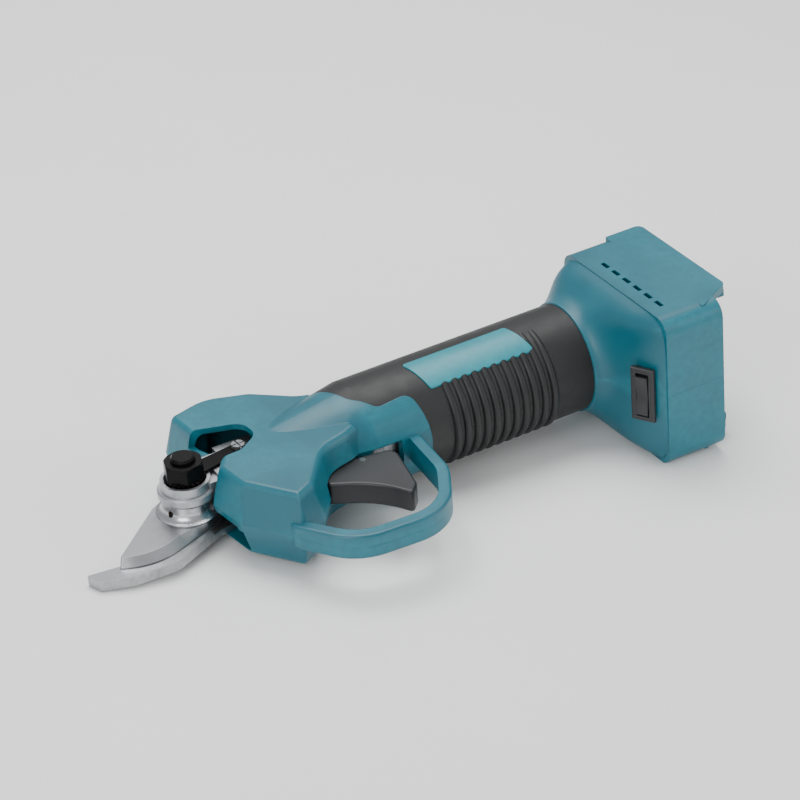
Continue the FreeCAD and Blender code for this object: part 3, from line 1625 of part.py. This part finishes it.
def terminal_block():
    """The plastic block that carries the battery contacts, with a flange inside the rear wall."""
    wall = size("wall")
    proud = size("terminal_proud")
    body = solid_box((-10.0, -29.9, -13.9), (proud, 1.9, 13.9))
    flange = solid_box((-wall - 3.2, -32.5, -16.5), (-wall - 0.05, 4.5, 16.5))
    body = body.fuse(flange)
    for z in contact_heights():
        body = body.cut(solid_box((-0.5, -31.0, z - 1.7), (proud + 1, -4.0, z + 1.7)))
        thick = size("contact_thickness") / 2 + 0.02
        body = body.cut(solid_box((-11.0, -24.02, z - thick), (0.0, -7.98, z + thick)))
    return body


def terminal_contacts():
    """The three brass blades that reach into the battery's slots."""
    half = size("contact_thickness") / 2
    solids = []
    for z in contact_heights():
        solids.append(solid_box((-12.5, -24.0, z - half), (size("terminal_proud") - 1.0, -8.0, z + half)))
    return Part.makeCompound(solids)


def controller_board():
    """The motor controller's board, with its row of transistors."""
    low = board_bottom()
    top = low + size("board_thickness")
    body = solid_box((-78.0, -15.0, low), (-32.0, 15.0, top))
    for x, y in board_screw_places():
        body = body.cut(rod(1.2 + 0.15, (x, y, low - 1), (x, y, top + 1)))
    chips = []
    for i in range(3):
        x = -47.5 + 4.0 * i
        for y in (-9.0, 3.5):
            chips.append(solid_box((x, y, top - 0.1), (x + 3.2, y + 5.2, top + 1.1)))
    return body.fuse(chips)


def board_screws():
    """The four screws that hold the controller board."""
    top = board_bottom() + size("board_thickness") + 0.04
    return Part.makeCompound(screw_down(board_screw_places(), 1.2, 2.1, 1.2, top, 8.0))


def screw_down(places, radius, head_radius, head_height, seat, length):
    """Screws that point to -Z from a seat."""
    solids = []
    for x, y in places:
        shank = rod(radius, (x, y, seat - length), (x, y, seat))
        head = rod(head_radius, (x, y, seat), (x, y, seat + head_height))
        solids.append(shank.fuse(head).removeSplitter())
    return solids


def heat_sink():
    """The finned block under the controller board."""
    top = board_bottom() - 0.04
    body = solid_box((-67.0, -9.0, top - 6.5), (-43.0, 9.0, top))
    for i in range(4):
        y = -7.4 + 4.1 * i
        body = body.cut(solid_box((-68.0, y, top - 7.0), (-42.0, y + 2.5, top - 1.8)))
    return body


def capacitors():
    """Two capacitors lying on the controller board."""
    height = board_bottom() + size("board_thickness") + 5.05
    solids = []
    for y in (-5.6, 5.6):
        can = rod(5.0, (-69.0, y, height), (-49.0, y, height))
        solids.append(can.makeFillet(0.8, can.Edges))
    return Part.makeCompound(solids)


def lead(radius, points):
    """A wire through points, with round joints."""
    corners = [Vector(*p) for p in points]
    pieces = []
    for first, last in zip(corners, corners[1:]):
        pieces.append(rod(radius, first, last))
    for corner in corners[1:-1]:
        pieces.append(Part.makeSphere(radius, corner))
    return pieces[0].fuse(pieces[1:]).removeSplitter()


def motor_leads():
    """The three wires from the motor to its controller."""
    start = can_rear() + size("end_plate") + 0.05
    top = board_bottom() + size("board_thickness") + 1.1
    solids = []
    for y, z in ((-8.0, 12.6), (0.0, 14.8), (8.0, 12.6)):
        path = [(start, y, z), (start + 5, y, z), (-77.0, y * 0.7, top), (-72.5, y * 0.7, top)]
        solids.append(lead(1.0, path))
    return Part.makeCompound(solids)


def battery_leads():
    """The two thick wires from the contacts to the controller."""
    top = board_bottom() + size("board_thickness") + 1.3
    solids = []
    for side in (-1, 1):
        path = [(-34.0, -1.4 + side * 4.0, top), (-28.0, -1.4 + side * 4.0, top),
                (-20.0, -16.0, side * 8.0), (-12.55, -16.0, side * 8.0)]
        solids.append(lead(1.2, path))
    return Part.makeCompound(solids)


def sensor_leads():
    """The thin cable from the trigger's sensor past the motor to the controller."""
    path = [(-149.95, -17.45, 6.2), (-84.0, -17.45, 6.2), (-79.5, -13.6, 1.25), (-75.6, -13.6, 1.25)]
    return lead(0.5, path)


# ----------------------------------------------------------------- assembly


def build_outside():
    """The housings, their grips, the badge and the screws."""
    proud = size("badge_proud")
    grip = soft_grip()
    feature("upper_housing", upper_housing())
    feature("lower_housing", lower_housing())
    feature("upper_grip", grip.cut(badge_skin(-0.05, 5.0)))
    feature("lower_grip", mirrored(grip))
    feature("badge", badge_skin(0.0, proud))
    feature("housing_screws", housing_screws())


def build_blades():
    """The blades and everything on their pivot."""
    bottom = size("blade_top") - size("blade_thickness")
    low_face = size("eye_bottom") - 0.05
    finish(moving_blade(), "moving_blade")
    finish(blade_hub(), "blade_hub")
    plain_ring("pivot_bush", size("bush_radius"), size("bolt_radius") + size("fit"), bottom,
               size("hub_top"))
    plain_ring("thrust_washer", size("bush_radius") + 2.5, size("bolt_radius") + size("fit"),
               size("hub_top") + 0.05, low_face)
    finish(hook_blade(), "hook_blade")
    feature("hook_screws", hook_screws())
    finish(pivot_bolt(), "pivot_bolt")
    feature("lock_plate", lock_plate())
    finish(lock_nut(), "lock_nut")
    finish(lock_screw(), "lock_screw")


def build_drive():
    """The gear case, the gears and the motor."""
    feature("gear_case", gear_case())
    feature("sector_gear", sector_gear())
    feature("sector_rivets", sector_rivets())
    feature("bevel_pinion", bevel_pinion())
    width = size("bearing_width")
    inner = size("shaft_radius") + size("fit")
    bearing("front_output_bearing", -191.0, size("bearing_outer"), inner, width)
    bearing("rear_output_bearing", -171.0, size("bearing_outer"), inner, width)
    feature("planet_carrier", planet_carrier())
    for number in range(count("planet_count")):
        feature(f"planet_gear_{number + 1}", planet_gear(number))
    feature("sun_gear", sun_gear())
    feature("ring_gear", ring_gear())
    feature("gearbox_screws", gearbox_screws())


def build_motor():
    """The motor."""
    inner = size("motor_shaft_radius") + size("fit")
    motor_plate("motor_front_plate", motor_front(), gearbox_screw_places())
    feature("motor_can", motor_can())
    motor_plate("motor_rear_cap", can_rear(), [])
    bearing("front_motor_bearing", motor_front(), size("motor_bearing_outer"), inner, size("end_plate"))
    bearing("rear_motor_bearing", can_rear(), size("motor_bearing_outer"), inner, size("end_plate"))
    feature("rotor_core", rotor_core())
    feature("magnets", magnets())
    feature("stator", stator())
    feature("windings", windings())
    feature("hall_board", hall_board())


def build_controls():
    """The trigger, the switch, the battery contacts and the electronics."""
    x = size("trigger_x")
    y = size("trigger_y")
    feature("trigger", trigger())
    finish(cylinder("pin_rod", "$trigger_pin_radius", "18", Vector(x, y, -9), Z_AXIS), "trigger_pin")
    feature("trigger_spring", trigger_spring())
    finish(cylinder("magnet_rod", "1.5", "$trigger_half - 2.2", Vector(*MAGNET, 2.05), Z_AXIS),
           "trigger_magnet")
    feature("trigger_sensor_board", sensor_board())
    feature("switch_housing", switch_housing())
    feature("power_rocker", power_rocker())
    feature("terminal_block", terminal_block())
    feature("terminal_contacts", terminal_contacts())
    feature("controller_board", controller_board())
    feature("capacitors", capacitors())
    feature("heat_sink", heat_sink())
    feature("board_screws", board_screws())
    feature("motor_leads", motor_leads())
    feature("battery_leads", battery_leads())
    feature("sensor_leads", sensor_leads())


def settle():
    """Moves every sub-part so that the frame's origin is under the middle of the whole tool."""
    bounds = FreeCAD.BoundBox()
    for obj in PARTS:
        bounds.add(obj.Shape.optimalBoundingBox())
    middle = bounds.Center
    shift = Vector(-middle.x, -middle.y, -bounds.ZMin)
    for obj in PARTS:
        place = obj.Placement
        obj.Placement = Placement(place.Base + shift, place.Rotation)
    doc.recompute()
    return shift


def export():
    """Checks every sub-part and writes its STEP file."""
    os.makedirs("parts", exist_ok=True)
    for obj in doc.Objects:
        if "Invalid" in obj.State or "Error" in obj.State:
            raise ValueError(f"{obj.Name}: {obj.State}")
    for obj in PARTS:
        shape = obj.Shape
        if shape.isNull() or not shape.isValid() or shape.Volume < 0.1:
            raise ValueError(obj.Label + ": bad shape")
        shape.exportStep(os.path.join("parts", obj.Label + ".step"))


build_outside()
build_blades()
build_drive()
build_motor()
build_controls()
doc.recompute()
SHIFT = settle()
export()
print("sub-parts:", len(PARTS))
print("shift:", [round(v, 4) for v in SHIFT])
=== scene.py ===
# %% [markdown]
# # A battery electric pruner
# This lesson gives a cordless pruner its looks. The shapes come from CAD as one frame of named parts, in
# metres, with the joints already in place, so this script never moves them. Each cell below adds one thing:
# the colours, the moulded plastics, the rubber, the metals, the electronics inside, then the table, the light
# and the camera. The tool lies on its flank with the blades at -X and the battery foot at +X.

# %% Load the frame
import bpy
import math
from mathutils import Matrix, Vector


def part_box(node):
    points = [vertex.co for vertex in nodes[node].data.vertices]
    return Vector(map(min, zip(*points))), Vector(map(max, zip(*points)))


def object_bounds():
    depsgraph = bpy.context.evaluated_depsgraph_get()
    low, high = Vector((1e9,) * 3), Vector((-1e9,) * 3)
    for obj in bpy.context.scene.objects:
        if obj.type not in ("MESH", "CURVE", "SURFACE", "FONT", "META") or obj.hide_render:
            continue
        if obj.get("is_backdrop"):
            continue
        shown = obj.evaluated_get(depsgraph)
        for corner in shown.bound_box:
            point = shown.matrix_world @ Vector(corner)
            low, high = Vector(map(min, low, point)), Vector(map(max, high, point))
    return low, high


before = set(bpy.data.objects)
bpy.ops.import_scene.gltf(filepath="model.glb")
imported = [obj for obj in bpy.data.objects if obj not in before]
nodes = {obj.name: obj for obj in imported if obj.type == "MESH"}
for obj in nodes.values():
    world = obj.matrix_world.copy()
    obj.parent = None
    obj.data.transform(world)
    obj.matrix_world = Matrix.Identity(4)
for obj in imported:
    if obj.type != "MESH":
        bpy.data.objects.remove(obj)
first_low, first_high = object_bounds()
MM = 0.001
print("parts:", len(nodes))
print("size in mm:", [round(v / MM, 1) for v in first_high - first_low])

# %% [markdown]
# ## Colours
# A paint chart gives colours as sRGB hex codes. Cycles works with linear light, so one function turns a
# code into linear values: small values divide by 12.92, and the rest follow a 2.4 power curve. Typing the
# codes straight into a node would make every colour too pale.


# %% From hex code to linear colour
def linear(code):
    """(r, g, b, 1) in linear light from an sRGB hex code."""
    values = []
    for start in (1, 3, 5):
        v = int(code[start:start + 2], 16) / 255
        values.append(v / 12.92 if v <= 0.04045 else ((v + 0.055) / 1.055) ** 2.4)
    return (*values, 1.0)


print("teal in linear light:", [round(v, 3) for v in linear("#045565")])

# %% [markdown]
# ## Building materials
# Every material here is a Principled surface fed by a few nodes. Nodes could be wired by hand in the editor,
# but a script is easier to read when one function does the wiring: `feed` sets or joins a node's inputs, and
# `add` makes a node and feeds it. Coordinates are in metres, so a pattern's scale is one over the size of its
# grain in metres, and `grain_scale` works that out from millimetres.


# %% Two functions that wire nodes
def feed(tree, node, inputs):
    """Sets a node's inputs: a node or a socket is joined to the input, a plain value is stored in it."""
    for name, value in inputs.items():
        if isinstance(value, bpy.types.Node):
            tree.links.new(value.outputs[0], node.inputs[name])
        elif isinstance(value, bpy.types.NodeSocket):
            tree.links.new(value, node.inputs[name])
        else:
            node.inputs[name].default_value = value


def add(tree, kind, inputs=None, **settings):
    """One new node with its settings and its inputs."""
    node = tree.nodes.new("ShaderNode" + kind)
    for name, value in settings.items():
        setattr(node, name, value)
    feed(tree, node, inputs or {})
    return node


def grain_scale(grain):
    """The texture scale for grains of a size in millimetres."""
    return 1.0 / (grain * MM)


def surface(name, values):
    """A new material: its tree, its Principled shader, and its place coordinates in metres."""
    material = bpy.data.materials.new(name)
    material.use_nodes = True
    tree = material.node_tree
    shader = tree.nodes["Principled BSDF"]
    feed(tree, shader, values)
    where = add(tree, "TexCoord").outputs["Object"]
    return material, tree, shader, where


# The Mix node has sockets for every kind of value; these are the numbers of its colour sockets.
MIX_FIRST, MIX_SECOND, MIX_RESULT = 6, 7, 2
EDGE_SAMPLES = 4
print("scale of a half-millimetre grain:", grain_scale(0.5))

# %% [markdown]
# ## Moulded plastic
# The shell is glass-filled nylon, injected into a mould whose walls are spark-eroded, so its skin is a fine
# satin grain about 0.4 mm across and some hundredths of a millimetre high. Its sharp edges get a painted
# highlight: a paler colour where the pointiness of the surface finds an edge. Slow noise over centimetres
# varies the colour and the gloss, because no real shell is perfectly even. A Bevel node rounds the look of
# sharp mould edges, which catch a thin highlight on the real part.


# %% Glass-filled nylon and ABS
def moulded_plastic(name, code, edge_highlight_code, roughness, grain, edge_radius):
    """Textured injection-moulded plastic; grain and edge radius are in millimetres."""
    material, tree, shader, where = surface(name, {"IOR": 1.53})
    cloud = add(tree, "TexNoise", {"Vector": where, "Scale": grain_scale(22.0), "Detail": 4.0})
    specks = add(tree, "TexNoise", {"Vector": where, "Scale": grain_scale(3.0), "Detail": 3.0})
    # Sharp edges, found by pointiness and broken up by small noise, get a paler colour: a painted highlight.
    point = add(tree, "NewGeometry").outputs["Pointiness"]
    edge_highlight_mask = add(tree, "MapRange", {"Value": point, "From Min": 0.505, "From Max": 0.57, "To Max": 0.8})
    broken_edge_highlight = add(tree, "Math", {0: edge_highlight_mask, 1: specks}, operation="MULTIPLY")
    faded = add(tree, "MapRange", {"Value": cloud, "From Min": 0.35, "From Max": 0.7, "To Max": 0.22})
    shade = add(tree, "Math", {0: broken_edge_highlight, 1: faded}, operation="ADD", use_clamp=True)
    colour = add(tree, "Mix", {"Factor": shade, MIX_FIRST: linear(code), MIX_SECOND: linear(edge_highlight_code)},
                 data_type="RGBA")
    gloss = add(tree, "MapRange", {"Value": cloud, "From Min": 0.3, "From Max": 0.7,
                                   "To Min": roughness - 0.05, "To Max": roughness + 0.07})
    grains = add(tree, "TexNoise", {"Vector": where, "Scale": grain_scale(grain), "Detail": 2.0})
    soft_edge = add(tree, "Bevel", {"Radius": edge_radius * MM}, samples=EDGE_SAMPLES)
    relief = add(tree, "Bump", {"Height": grains, "Distance": 0.03 * MM, "Normal": soft_edge})
    feed(tree, shader, {"Base Color": colour.outputs[MIX_RESULT], "Roughness": gloss, "Normal": relief})
    return material


# The second colour of each plastic is the paler colour of its painted edge highlight.
teal_nylon = moulded_plastic("glass_filled_nylon_teal", "#045565", "#0E7383", 0.42, 0.42, 0.4)
black_nylon = moulded_plastic("glass_filled_nylon_black", "#131416", "#26282B", 0.42, 0.40, 0.3)
badge_abs = moulded_plastic("abs_badge_teal", "#0A7180", "#1F8C98", 0.34, 0.9, 0.2)
print("plastics:", teal_nylon.name, black_nylon.name, badge_abs.name)

# %% [markdown]
# ## Soft grip
# The grip is thermoplastic rubber moulded over the shell. It is nearly black and far rougher than the nylon,
# with a pebble of half a millimetre that keeps a wet glove from slipping. A faint grey bloom gathers in the
# valleys between the ribs, where nothing rubs it away. Voronoi cells give pebbles; noise would look like
# plastic again.


# %% Thermoplastic rubber
def soft_rubber(name, code, bloom_code):
    """Matt thermoplastic rubber with a faint bloom."""
    material, tree, shader, where = surface(name, {"IOR": 1.50})
    point = add(tree, "NewGeometry").outputs["Pointiness"]
    valley = add(tree, "MapRange", {"Value": point, "From Min": 0.50, "From Max": 0.45, "To Max": 0.5})
    cloud = add(tree, "TexNoise", {"Vector": where, "Scale": grain_scale(9.0), "Detail": 4.0})
    dust = add(tree, "MapRange", {"Value": cloud, "From Min": 0.35, "From Max": 0.75, "To Max": 0.3})
    bloom = add(tree, "Math", {0: valley, 1: dust}, operation="ADD", use_clamp=True)
    colour = add(tree, "Mix", {"Factor": bloom, MIX_FIRST: linear(code), MIX_SECOND: linear(bloom_code)},
                 data_type="RGBA")
    gloss = add(tree, "MapRange", {"Value": cloud, "From Min": 0.3, "From Max": 0.7,
                                   "To Min": 0.44, "To Max": 0.6})
    pebbles = add(tree, "TexVoronoi", {"Vector": where, "Scale": grain_scale(0.55)})
    soft_edge = add(tree, "Bevel", {"Radius": 0.25 * MM}, samples=EDGE_SAMPLES)
    relief = add(tree, "Bump", {"Height": pebbles, "Distance": 0.04 * MM, "Normal": soft_edge})
    feed(tree, shader, {"Base Color": colour.outputs[MIX_RESULT], "Roughness": gloss, "Normal": relief})
    return material


black_rubber = soft_rubber("thermoplastic_rubber_black", "#0F1011", "#232425")
print("rubber:", black_rubber.name)

# %% [markdown]
# ## Metals
# Ground blades carry parallel scratches from the wheel, turned parts carry rings, and cast or blasted parts
# carry round grains. All three are one noise pattern, stretched by a Mapping node: fifteen times along one
# axis gives scratches, and no stretch gives grains. The lines change the colour, the gloss and the height,
# and a slow cloud adds the dull patches that sap and oil leave. Real grinding scratches are about 0.05 mm
# apart, too fine to show, so they are drawn 0.2 mm apart. Metals keep the default index of refraction.


# %% Ground, turned, cast and blackened metal
def bare_metal(name, code, stain_code, roughness, grain, depth, stretch=(1.0, 1.0, 1.0), edge_radius=0.15):
    """A bare metal; grain, depth and edge radius are in millimetres."""
    material, tree, shader, where = surface(name, {"Metallic": 1.0})
    stretched = add(tree, "Mapping", {"Vector": where, "Scale": stretch})
    lines = add(tree, "TexNoise", {"Vector": stretched, "Scale": grain_scale(grain), "Detail": 4.0,
                                   "Roughness": 0.6})
    cloud = add(tree, "TexNoise", {"Vector": where, "Scale": grain_scale(11.0), "Detail": 4.0})
    stains = add(tree, "MapRange", {"Value": cloud, "From Min": 0.5, "From Max": 0.75, "To Max": 0.4})
    streaks = add(tree, "MapRange", {"Value": lines, "From Min": 0.35, "From Max": 0.7, "To Max": 0.35})
    shade = add(tree, "Math", {0: stains, 1: streaks}, operation="ADD", use_clamp=True)
    colour = add(tree, "Mix", {"Factor": shade, MIX_FIRST: linear(code), MIX_SECOND: linear(stain_code)},
                 data_type="RGBA")
    shine = add(tree, "MapRange", {"Value": lines, "From Min": 0.3, "From Max": 0.7,
                                   "To Min": roughness - 0.06, "To Max": roughness + 0.08})
    dulled = add(tree, "Math", {0: stains, 1: 0.2, 2: shine}, operation="MULTIPLY_ADD")
    soft_edge = add(tree, "Bevel", {"Radius": edge_radius * MM}, samples=EDGE_SAMPLES)
    relief = add(tree, "Bump", {"Height": lines, "Distance": depth * MM, "Normal": soft_edge})
    feed(tree, shader, {"Base Color": colour.outputs[MIX_RESULT], "Roughness": dulled, "Normal": relief})
    return material


SCRATCHES = (3.0, 45.0, 3.0)
RINGS = (1.0, 1.0, 25.0)
LAYERS = (1.0, 0.02, 0.02)
STRANDS = (0.1, 1.0, 1.0)
# Outside: satin ground blades, a brighter turned hub, and nearly black, slightly oily nuts and plates.
blade_steel = bare_metal("high_carbon_steel_ground", "#B4B6B8", "#77797C", 0.32, 8.0, 0.02, SCRATCHES)
hub_steel = bare_metal("stainless_steel_turned", "#C4C6C8", "#85888B", 0.26, 6.0, 0.02, RINGS, 0.3)
black_oxide = bare_metal("steel_black_oxide", "#262525", "#121212", 0.38, 0.8, 0.03)
# Drive: grainy cast aluminium round darker gear steel, with mirror-bright bearings and grey zinc screws.
case_aluminium = bare_metal("die_cast_aluminium", "#B9BCBF", "#86898C", 0.42, 0.7, 0.05)
gear_steel = bare_metal("case_hardened_steel", "#85878A", "#4E5053", 0.32, 0.5, 0.01)
bearing_steel = bare_metal("bearing_steel_polished", "#C4C6C9", "#A0A2A5", 0.14, 1.5, 0.004)
zinc_steel = bare_metal("zinc_plated_steel", "#A8AAAC", "#7E8184", 0.34, 1.2, 0.01)
spring_steel = bare_metal("music_wire", "#909295", "#5E6063", 0.28, 1.0, 0.01)
# Motor: layered iron, shiny nickel, and warm bronze, copper and brass.
iron_stack = bare_metal("silicon_steel_laminations", "#6B6C6E", "#404143", 0.45, 0.5, 0.06, LAYERS)
magnet_nickel = bare_metal("nickel_plated_magnet", "#B5B2AA", "#8F8C85", 0.20, 2.0, 0.005)
bronze = bare_metal("sintered_bronze", "#9A6A35", "#6B4722", 0.42, 0.35, 0.03)
copper = bare_metal("enamelled_copper", "#A6562A", "#6E3216", 0.30, 0.6, 0.08, STRANDS)
contact_brass = bare_metal("tinned_brass", "#C2A158", "#8F7438", 0.25, 2.0, 0.01)
print("materials so far:", sorted(m.name for m in bpy.data.materials if m.use_nodes))

# %% [markdown]
# ## Circuit boards
# A board is green glass epoxy under a glossy solder mask, and copper tracks show through as a lighter green.
# Real artwork would be an image; a brick pattern with thin joints is a fair stand-in at this size, because
# the eye only reads it as a fine grid of lines.


# %% Glass epoxy under solder mask
def circuit_board(name):
    """Green solder mask over tracks about 3 mm apart."""
    material, tree, shader, where = surface(name, {"IOR": 1.55, "Coat Weight": 0.4})
    tracks = add(tree, "TexBrick", {
        "Vector": where, "Scale": grain_scale(3.0), "Mortar Size": 0.08,
        "Color1": linear("#0F4527"), "Color2": linear("#15532F"), "Mortar": linear("#2A7A45")})
    cloud = add(tree, "TexNoise", {"Vector": where, "Scale": grain_scale(4.0)})
    gloss = add(tree, "MapRange", {"Value": cloud, "To Min": 0.2, "To Max": 0.36})
    relief = add(tree, "Bump", {"Height": tracks.outputs["Fac"], "Distance": 0.03 * MM})
    feed(tree, shader, {"Base Color": tracks, "Roughness": gloss, "Normal": relief})
    return material


board_green = circuit_board("glass_epoxy_board")
print("board:", board_green.name)

# %% [markdown]
# ## Sleeves and cable
# Capacitors wear a shrunk vinyl sleeve, and the leads are silicone or vinyl. An extruded skin is glossy but
# never quite even, so slow noise moves both the colour and the gloss, and a small bump keeps the highlight
# from running dead straight.


# %% Vinyl and silicone
def cable_sleeve(name, code, shade_code, roughness):
    """An extruded or shrunk sleeve."""
    material, tree, shader, where = surface(name, {"IOR": 1.48})
    cloud = add(tree, "TexNoise", {"Vector": where, "Scale": grain_scale(5.0), "Detail": 3.0})
    ripples = add(tree, "TexNoise", {"Vector": where, "Scale": grain_scale(1.1)})
    colour = add(tree, "Mix", {"Factor": cloud, MIX_FIRST: linear(code), MIX_SECOND: linear(shade_code)},
                 data_type="RGBA")
    gloss = add(tree, "MapRange", {"Value": cloud, "To Min": roughness - 0.07, "To Max": roughness + 0.07})
    relief = add(tree, "Bump", {"Height": ripples, "Distance": 0.02 * MM})
    feed(tree, shader, {"Base Color": colour.outputs[MIX_RESULT], "Roughness": gloss, "Normal": relief})
    return material


capacitor_vinyl = cable_sleeve("pvc_shrink_sleeve", "#1B1E25", "#2A2F3A", 0.32)
red_silicone = cable_sleeve("silicone_cable_red", "#7C1512", "#54100E", 0.42)
grey_vinyl = cable_sleeve("pvc_cable_grey", "#2A2B2C", "#1B1C1D", 0.45)
print("sleeves:", capacitor_vinyl.name, red_silicone.name, grey_vinyl.name)

# %% [markdown]
# ## Dressing the parts
# Each CAD part keeps its mesh and gets one material in its slot. Assigning them one by one would be fifty
# lines; a table of material to part names reads like the real parts list, and the last line proves that no
# part was forgotten.

# %% Which part is made of what
DRESS = {
    teal_nylon: ["upper_housing", "lower_housing"],
    black_rubber: ["upper_grip", "lower_grip"],
    badge_abs: ["badge"],
    black_nylon: ["trigger", "switch_housing", "power_rocker", "terminal_block"],
    blade_steel: ["moving_blade", "hook_blade"],
    hub_steel: ["blade_hub"],
    case_aluminium: ["gear_case", "motor_front_plate", "motor_rear_cap", "heat_sink"],
    black_oxide: ["pivot_bolt", "lock_plate", "lock_nut", "hook_screws"],
    gear_steel: ["sector_gear", "bevel_pinion", "planet_carrier", "planet_gear_1", "planet_gear_2",
                 "planet_gear_3", "sun_gear", "ring_gear"],
    bearing_steel: ["front_output_bearing", "rear_output_bearing", "front_motor_bearing",
                    "rear_motor_bearing"],
    zinc_steel: ["housing_screws", "lock_screw", "sector_rivets", "gearbox_screws", "motor_can",
                 "trigger_pin", "board_screws"],
    spring_steel: ["trigger_spring"],
    iron_stack: ["stator", "rotor_core"],
    magnet_nickel: ["magnets", "trigger_magnet"],
    bronze: ["pivot_bush", "thrust_washer"],
    copper: ["windings"],
    contact_brass: ["terminal_contacts"],
    board_green: ["hall_board", "trigger_sensor_board", "controller_board"],
    capacitor_vinyl: ["capacitors"],
    red_silicone: ["motor_leads", "battery_leads"],
    grey_vinyl: ["sensor_leads"],
}

dressed = set()
for material, names in DRESS.items():
    for name in names:
        nodes[name].data.materials.clear()
        nodes[name].data.materials.append(material)
        dressed.add(name)
print("dressed:", len(dressed), "of", len(nodes), "left:", sorted(set(nodes) - dressed))

# %% [markdown]
# ## The table
# The tool rests on two places: the front edge of the battery foot's flank, and the head of the pivot bolt.
# A plane through both is the table top, so in the tool's own axes it leans by a few degrees. Tilting the
# table is simpler than tilting the tool, because the parts must stay where CAD put them. The table is a pale
# matt paint, so that only soft contact shadows show on it.

# %% A pale table top under the tool
# Where the flat flank of the foot begins, the gap that keeps the table off the tool, and the table's half size.
FOOT_EDGE_X = 0.1125
TABLE_GAP = 0.0004
TABLE_HALF = 4.0
bolt_low, bolt_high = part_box("pivot_bolt")
foot_edge = Vector((FOOT_EDGE_X, 0.0, 0.0))
bolt_foot = Vector(((bolt_low[0] + bolt_high[0]) / 2, 0.0, bolt_low[2]))
lean = math.atan2(bolt_foot.z - foot_edge.z, foot_edge.x - bolt_foot.x)
up = Vector((math.sin(lean), 0.0, math.cos(lean)))
along = Vector((math.cos(lean), 0.0, -math.sin(lean)))
across = Vector((0.0, 1.0, 0.0))
base = foot_edge - up * TABLE_GAP
sides = ((-1, -1), (1, -1), (1, 1), (-1, 1))
corners = [base + (along * x + across * y) * TABLE_HALF for x, y in sides]
table_mesh = bpy.data.meshes.new("table")
table_mesh.from_pydata(corners, [], [(0, 1, 2, 3)])
table = bpy.data.objects.new("table", table_mesh)
bpy.context.scene.collection.objects.link(table)

table_paint, tree, shader, where = surface("pale_matt_table_paint", {"Roughness": 0.9, "IOR": 1.45})
cloud = add(tree, "TexNoise", {"Vector": where, "Scale": grain_scale(60.0)})
shades = {"Factor": cloud, MIX_FIRST: linear("#F2F2F1"), MIX_SECOND: linear("#EEEEED")}
paint = add(tree, "Mix", shades, data_type="RGBA")
feed(tree, shader, {"Base Color": paint.outputs[MIX_RESULT]})
table_mesh.materials.append(table_paint)
table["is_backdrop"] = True
print("the table leans by", round(math.degrees(lean), 2), "degrees")

# %% [markdown]
# ## Light
# A studio lights such a tool with large soft boxes, because small lamps would draw hard shadows and pin-point
# highlights. A panel above and behind gives the long highlight on the barrel, one from the left fills the
# belly side and the blades, one from the right keeps the foot readable, and a pale world lifts the shadows.


# %% Three soft panels and a pale world
def panel(name, spot, watts, width):
    """A square light panel that faces the middle of the tool."""
    light = bpy.data.lights.new(name, "AREA")
    light.energy = watts
    light.size = width
    lamp = bpy.data.objects.new(name, light)
    lamp.location = spot
    lamp.rotation_mode = "QUATERNION"
    lamp.rotation_quaternion = (-Vector(spot)).to_track_quat("-Z", "Y")
    bpy.context.scene.collection.objects.link(lamp)
    lamp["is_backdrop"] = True


PANELS = {
    "panel_above": ((0.15, 0.35, 1.1), 15.0, 0.9),
    "panel_left": ((-1.0, -0.7, 0.7), 10.0, 0.8),
    "panel_right": ((0.9, -0.8, 0.5), 4.0, 0.7),
}
for name, (spot, watts, width) in PANELS.items():
    panel(name, spot, watts, width)
world = bpy.data.worlds.new("pale_room")
world.use_nodes = True
background = world.node_tree.nodes["Background"]
feed(world.node_tree, background, {"Color": linear("#E4E6E8"), "Strength": 0.75})
bpy.context.scene.world = world

# %% [markdown]
# ## Camera
# The camera looks down at about 31 degrees from the blade end, as one looks at a tool on a bench. A long lens
# keeps the far end from shrinking, and a small shift centres the tool without turning the view.

# %% A long lens from the blade end
LENS = 150.0
VIEW_SHIFT = 0.045
EYE = (-0.5407, -1.0063, 0.7660)
EYE_TURN = (58.70, 4.12, -30.06)
camera_data = bpy.data.cameras.new("camera")
camera_data.lens = LENS
camera_data.shift_x = VIEW_SHIFT
camera_data.shift_y = -VIEW_SHIFT
camera_data.clip_start = 0.05
camera_data.clip_end = 20.0
camera = bpy.data.objects.new("camera", camera_data)
camera.location = EYE
camera.rotation_euler = [math.radians(v) for v in EYE_TURN]
bpy.context.scene.collection.objects.link(camera)
bpy.context.scene.camera = camera
print("camera is", round(camera.location.length, 2), "m away")

# %% [markdown]
# The looks must not change the size of the tool. The first and the last bounds are compared, and the
# printed difference should be zero.

# %% Compare both sizes
last_low, last_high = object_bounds()
growth = (last_high - last_low) - (first_high - first_low)
print("size change in mm:", [round(v / MM, 3) for v in growth])
